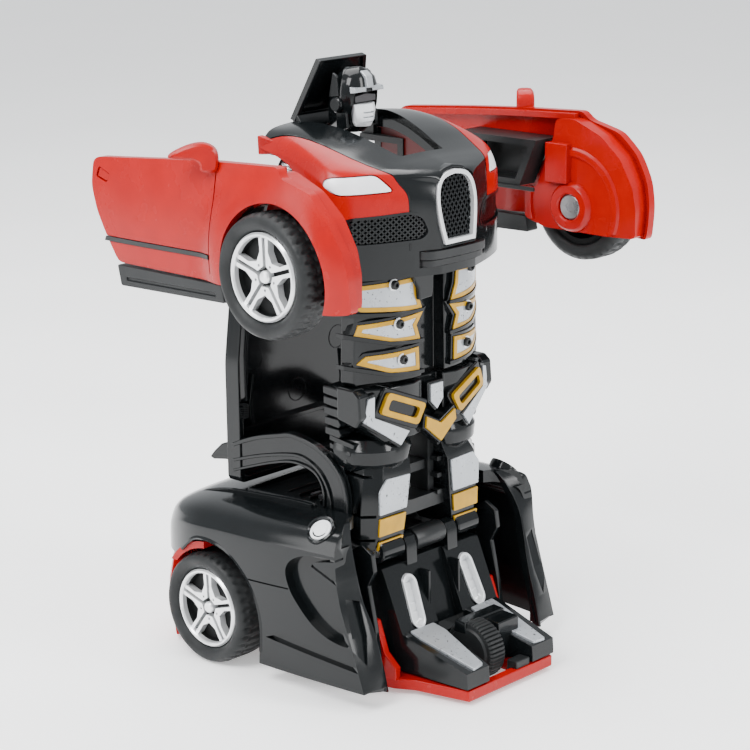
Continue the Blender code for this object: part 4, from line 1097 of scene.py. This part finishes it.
# ---- arms
DOOR = [(-14.6, 90.3), (-17.3, 95), (-20.3, 100.5), (-22, 105.5), (-21.7, 110.4), (-20.3, 111.3),
    (0, 113), (14, 114), (32, 114.8), (33.4, 112.9), (41.2, 110.9), (46, 106.4), (49.2, 100.8),
    (50.2, 96), (50.2, 88.8), (44.8, 88.4), (24, 88.4), (19, 90.3)]
WING = [(18.4, 90.4), (18.4, 97.4), (21.6, 97.4), (26.4, 109.2), (27, 113), (32, 113.4),
    (39.4, 110.4), (44.6, 106), (47.9, 100.3), (48.9, 95.6), (48.9, 89.2), (41, 88.8), (24, 88.8)]


def door_face(x, z):
    """Distance of the arm's outer skin from the middle plane."""
    crown = 48.4 - 1.3 * ((z - 100.5) / 14) ** 2 - 0.5 * max(0, (-x - 5) / 17) ** 2
    near = math.hypot(x - FRONT_HUB.x, z - FRONT_HUB.z)
    flare = min(1, max(0, (21.5 - near) / 7))
    front = max(0, (x - 42) / 7.5)
    return crown + 1.5 * flare * flare * (3 - 2 * flare) - 1.2 * front * front


def arm_skin(low, high):
    """Curved slab that follows the outer skin."""
    xs = [-24 + 1.5 * k for k in range(51)]
    zs = [84 + 1.5 * k for k in range(23)]
    bm = bmesh.new()
    sheets = []
    for lift in (low, high):
        sheets.append([[bm.verts.new((x, door_face(x, z) + lift, z)) for z in zs] for x in xs])
    for sheet in sheets:
        for i in range(len(xs) - 1):
            for j in range(len(zs) - 1):
                bm.faces.new((sheet[i][j], sheet[i + 1][j], sheet[i + 1][j + 1], sheet[i][j + 1]))
    near, far = sheets
    for i in range(len(xs) - 1):
        for j in (0, len(zs) - 1):
            bm.faces.new((near[i][j], near[i + 1][j], far[i + 1][j], far[i][j]))
    for j in range(len(zs) - 1):
        for i in (0, len(xs) - 1):
            bm.faces.new((near[i][j], near[i][j + 1], far[i][j + 1], far[i][j]))
    return tidy(bm)


def arms():
    """Door and front wing in one red moulding, open inside, with its wheel and fittings."""
    hub = Vector((FRONT_HUB.x, 0, FRONT_HUB.z))
    body = "arm_*"
    outline = rounded(DOOR, 1.2, 3)
    shell = keep(arm_skin(-2, 0), prism(outline, 40, 56))
    shell = cut(shell, rod(hub + Vector((0.4, 0, 0)), 40, 60, 14, steps=96))
    seam = spline([(15.3, 116), (15, 108), (14.4, 101), (14, 92)], 3)
    seam = seam + [(x + 0.3, z) for x, z in reversed(seam)]
    shell = cut(shell, cut(prism(seam, 44, 56), arm_skin(-6, -0.5)))
    handle = rounded([(-20.6, 107.3), (-17, 106.4), (-16, 108.2), (-19.8, 109.5)], 0.6)
    shell = cut(shell, cut(prism(handle, 44, 56), arm_skin(-6, -0.8)))
    strip = [(-18.3, 94.3), (-17.7, 95.5), (14.3, 95.9), (14.3, 94.8)]
    shell = cut(shell, cut(prism(strip, 44, 56), arm_skin(-6, -0.8)))
    pair("door_*", shell, RED, body, ("arm_panel_*",), angle=40)
    rub = keep(arm_skin(-1, 0.25), prism(inset(strip, 0.12), 40, 56))
    pair("rub_strip_*", rub, SATIN, body)
    latch = keep(arm_skin(-0.6, -0.25), prism(inset(handle, 0.25), 40, 56))
    pair("door_handle_*", latch, RED, body)
    wing = prism(rounded(WING, 1, 3), 42.2, 47)
    wing = cut(wing, rod(hub, 43.3, 60, 13.6, steps=96))
    wing = cut(wing, rod(hub, 40, 46, 2.2, steps=32))
    pair("wing_*", wing, RED, body, bevel=0.3)
    arc = turned([(11, 42.6), (11.2, 41.7), (11.9, 41.6), (12.6, 41.7), (13.4, 42.6)], hub,
        steps=96, closed=True)
    arc = keep(arc, prism(rounded(inset(WING, 0.6), 1, 3), 38, 44))
    pair("wing_arc_*", arc, RED, body)
    boss = turned([(2.9, 43.2), (2.9, 41.2), (3.2, 40.9), (4.7, 40.9), (5.3, 41.4), (5.7, 42.6)],
        hub, steps=48, closed=True)
    pair("wing_boss_*", boss, RED, body)
    flange = cut(prism(rounded(inset(DOOR, 0.4), 1.2, 3), 43.6, 46.9),
        prism(rounded(inset(DOOR, 1.7), 1, 3), 40, 50))
    flange = cut(flange, box((17.5, 60), (40, 50), (80, 97.2)),
        box((31, 60), (40, 50), (80, 120)), box((-40, 60), (40, 50), (80, 92.2)),
        rod(hub, 40, 60, 14.8, steps=64))
    pair("door_flange_*", flange, RED, body, bevel=0.25)
    axle = cut(rod(hub, 41.5, 42.4, 2.85, edge=0.3), rod(hub, 38, 41.9, 1.1, steps=6))
    axle = join(axle, rod(hub, 42, 46.6, 1.4))
    pair("axle_end_*", axle, STEEL, body, ("stub_axle_*",), bevel=0.1)
    sill = [(-14.4, 89.9), (-13.4, 85.6), (17.4, 86.4), (16.6, 90)]
    sill = cut(prism(rounded(sill, 0.5), 44.6, 48.2), prism([(-11.5, 86.9), (14.8, 87.5),
        (14.8, 88.2), (-11.6, 87.6)], 47.8, 50))
    pair("sill_*", sill, SATIN, body, ("arm_sill_*",), bevel=0.3)
    side_view = [(-1.7, 112.2), (-2, 115.4), (-1.1, 117), (0.9, 117.8), (3.4, 117.5), (6, 116.5),
        (7.6, 115.5), (7.4, 114.9), (5, 114.6), (3, 114.4), (1.8, 113.7), (1.5, 112.2)]
    out_way, thick_way = Vector((-0.687, 0.727)), Vector((0.727, 0.687))
    base = Vector((13.6, 47.9))
    rings = []
    for lift, shrink in ((-1.9, 0.55), (-1.5, 0.12), (-0.7, 0), (0.7, 0), (1.5, 0.12),
            (1.9, 0.55)):
        ring = []
        for along, z in spline(inset(side_view, shrink), 3, closed=True):
            spot = base + out_way * along + thick_way * lift * (1 - 0.04 * along)
            ring.append((spot.x, spot.y, z))
        rings.append(ring)
    pair("mirror_*", loft(rings), RED, body)
    flange = box((1.6, 25), (37, 37.7), (97.4, 98.3))
    pair("bracket_flange_*", flange, SATIN, body, bevel=0.2)
    block = box((25.4, 31.4), (40.4, 43), (99.4, 108))
    pair("wing_block_*", block, RED, body, bevel=0.2)
    keep_nodes(SATIN, "arm_bracket_left", "arm_bracket_right", "arm_link_left", "arm_link_right",
        bevel=0.3)


# ---- stage
VIEW_AT = (338.8, -345.2, 188.2)
VIEW_YAW, VIEW_PITCH, VIEW_ROLL = 46.57, 14.94, -0.66
VIEW_LENS = 110.2
LIT_AT = (5, 0, 60)


def point(x, y, z):
    return Vector(((x - X_MID) * MM, y * MM, z * MM))


def camera():
    yaw, pitch, roll = (math.radians(a) for a in (VIEW_YAW, VIEW_PITCH, VIEW_ROLL))
    back = Vector((math.cos(yaw) * math.cos(pitch), -math.sin(yaw) * math.cos(pitch),
        math.sin(pitch)))
    right = (-back).cross(Vector((0, 0, 1))).normalized()
    up = back.cross(right)
    tilted_right = right * math.cos(roll) + up * math.sin(roll)
    tilted_up = up * math.cos(roll) - right * math.sin(roll)
    data = bpy.data.cameras.new("camera")
    data.lens = VIEW_LENS
    data.sensor_width = 36
    data.clip_start = 0.01
    made = bpy.data.objects.new("camera", data)
    turn = Matrix((tilted_right, tilted_up, back)).transposed().to_4x4()
    made.matrix_world = Matrix.Translation(point(*VIEW_AT)) @ turn
    bpy.context.collection.objects.link(made)
    bpy.context.scene.camera = made


def lamp(name, place, size, power):
    data = bpy.data.lights.new(name, "AREA")
    data.shape = "RECTANGLE"
    data.size, data.size_y = size
    data.energy = power
    made = bpy.data.objects.new(name, data)
    made.location = point(*place)
    aim = point(*LIT_AT) - made.location
    made.rotation_euler = aim.to_track_quat("-Z", "Y").to_euler()
    bpy.context.collection.objects.link(made)


def stage():
    mesh = bpy.data.meshes.new("floor")
    bm = bmesh.new()
    bmesh.ops.create_grid(bm, x_segments=2, y_segments=2, size=3)
    bm.to_mesh(mesh)
    bm.free()
    floor = bpy.data.objects.new("floor", mesh)
    paper = surface("floor_paper", (0.93, 0.93, 0.93), 0.6, mottle=0.01, scale=20, grain=0)
    glow = paper.node_tree.nodes["Principled BSDF"]
    glow.inputs["Emission Color"].default_value = (1, 1, 1, 1)
    glow.inputs["Emission Strength"].default_value = 0.4
    mesh.materials.append(paper)
    bpy.context.collection.objects.link(floor)
    world = bpy.data.worlds.new("studio")
    bpy.context.scene.world = world
    world.use_nodes = True
    shade = world.node_tree.nodes["Background"]
    shade.inputs["Color"].default_value = (0.94, 0.97, 1, 1)
    shade.inputs["Strength"].default_value = 1
    lamp("key", (60, -420, 520), (0.30, 0.30), 5)
    lamp("top", (-120, 80, 620), (0.5, 0.5), 5.5)
    lamp("side", (560, 200, 330), (0.16, 0.5), 3.5)
    lamp("left", (-300, -520, 260), (0.14, 0.6), 1.6)


def main():
    stage()
    camera()
    wheels()
    rear_body()
    chassis()
    feet()
    roof()
    legs()
    waist()
    torso()
    chest()
    head()
    arms()
    keep_nodes(GREY, "gearbox_left", "gearbox_right", bevel=0.3)


main()
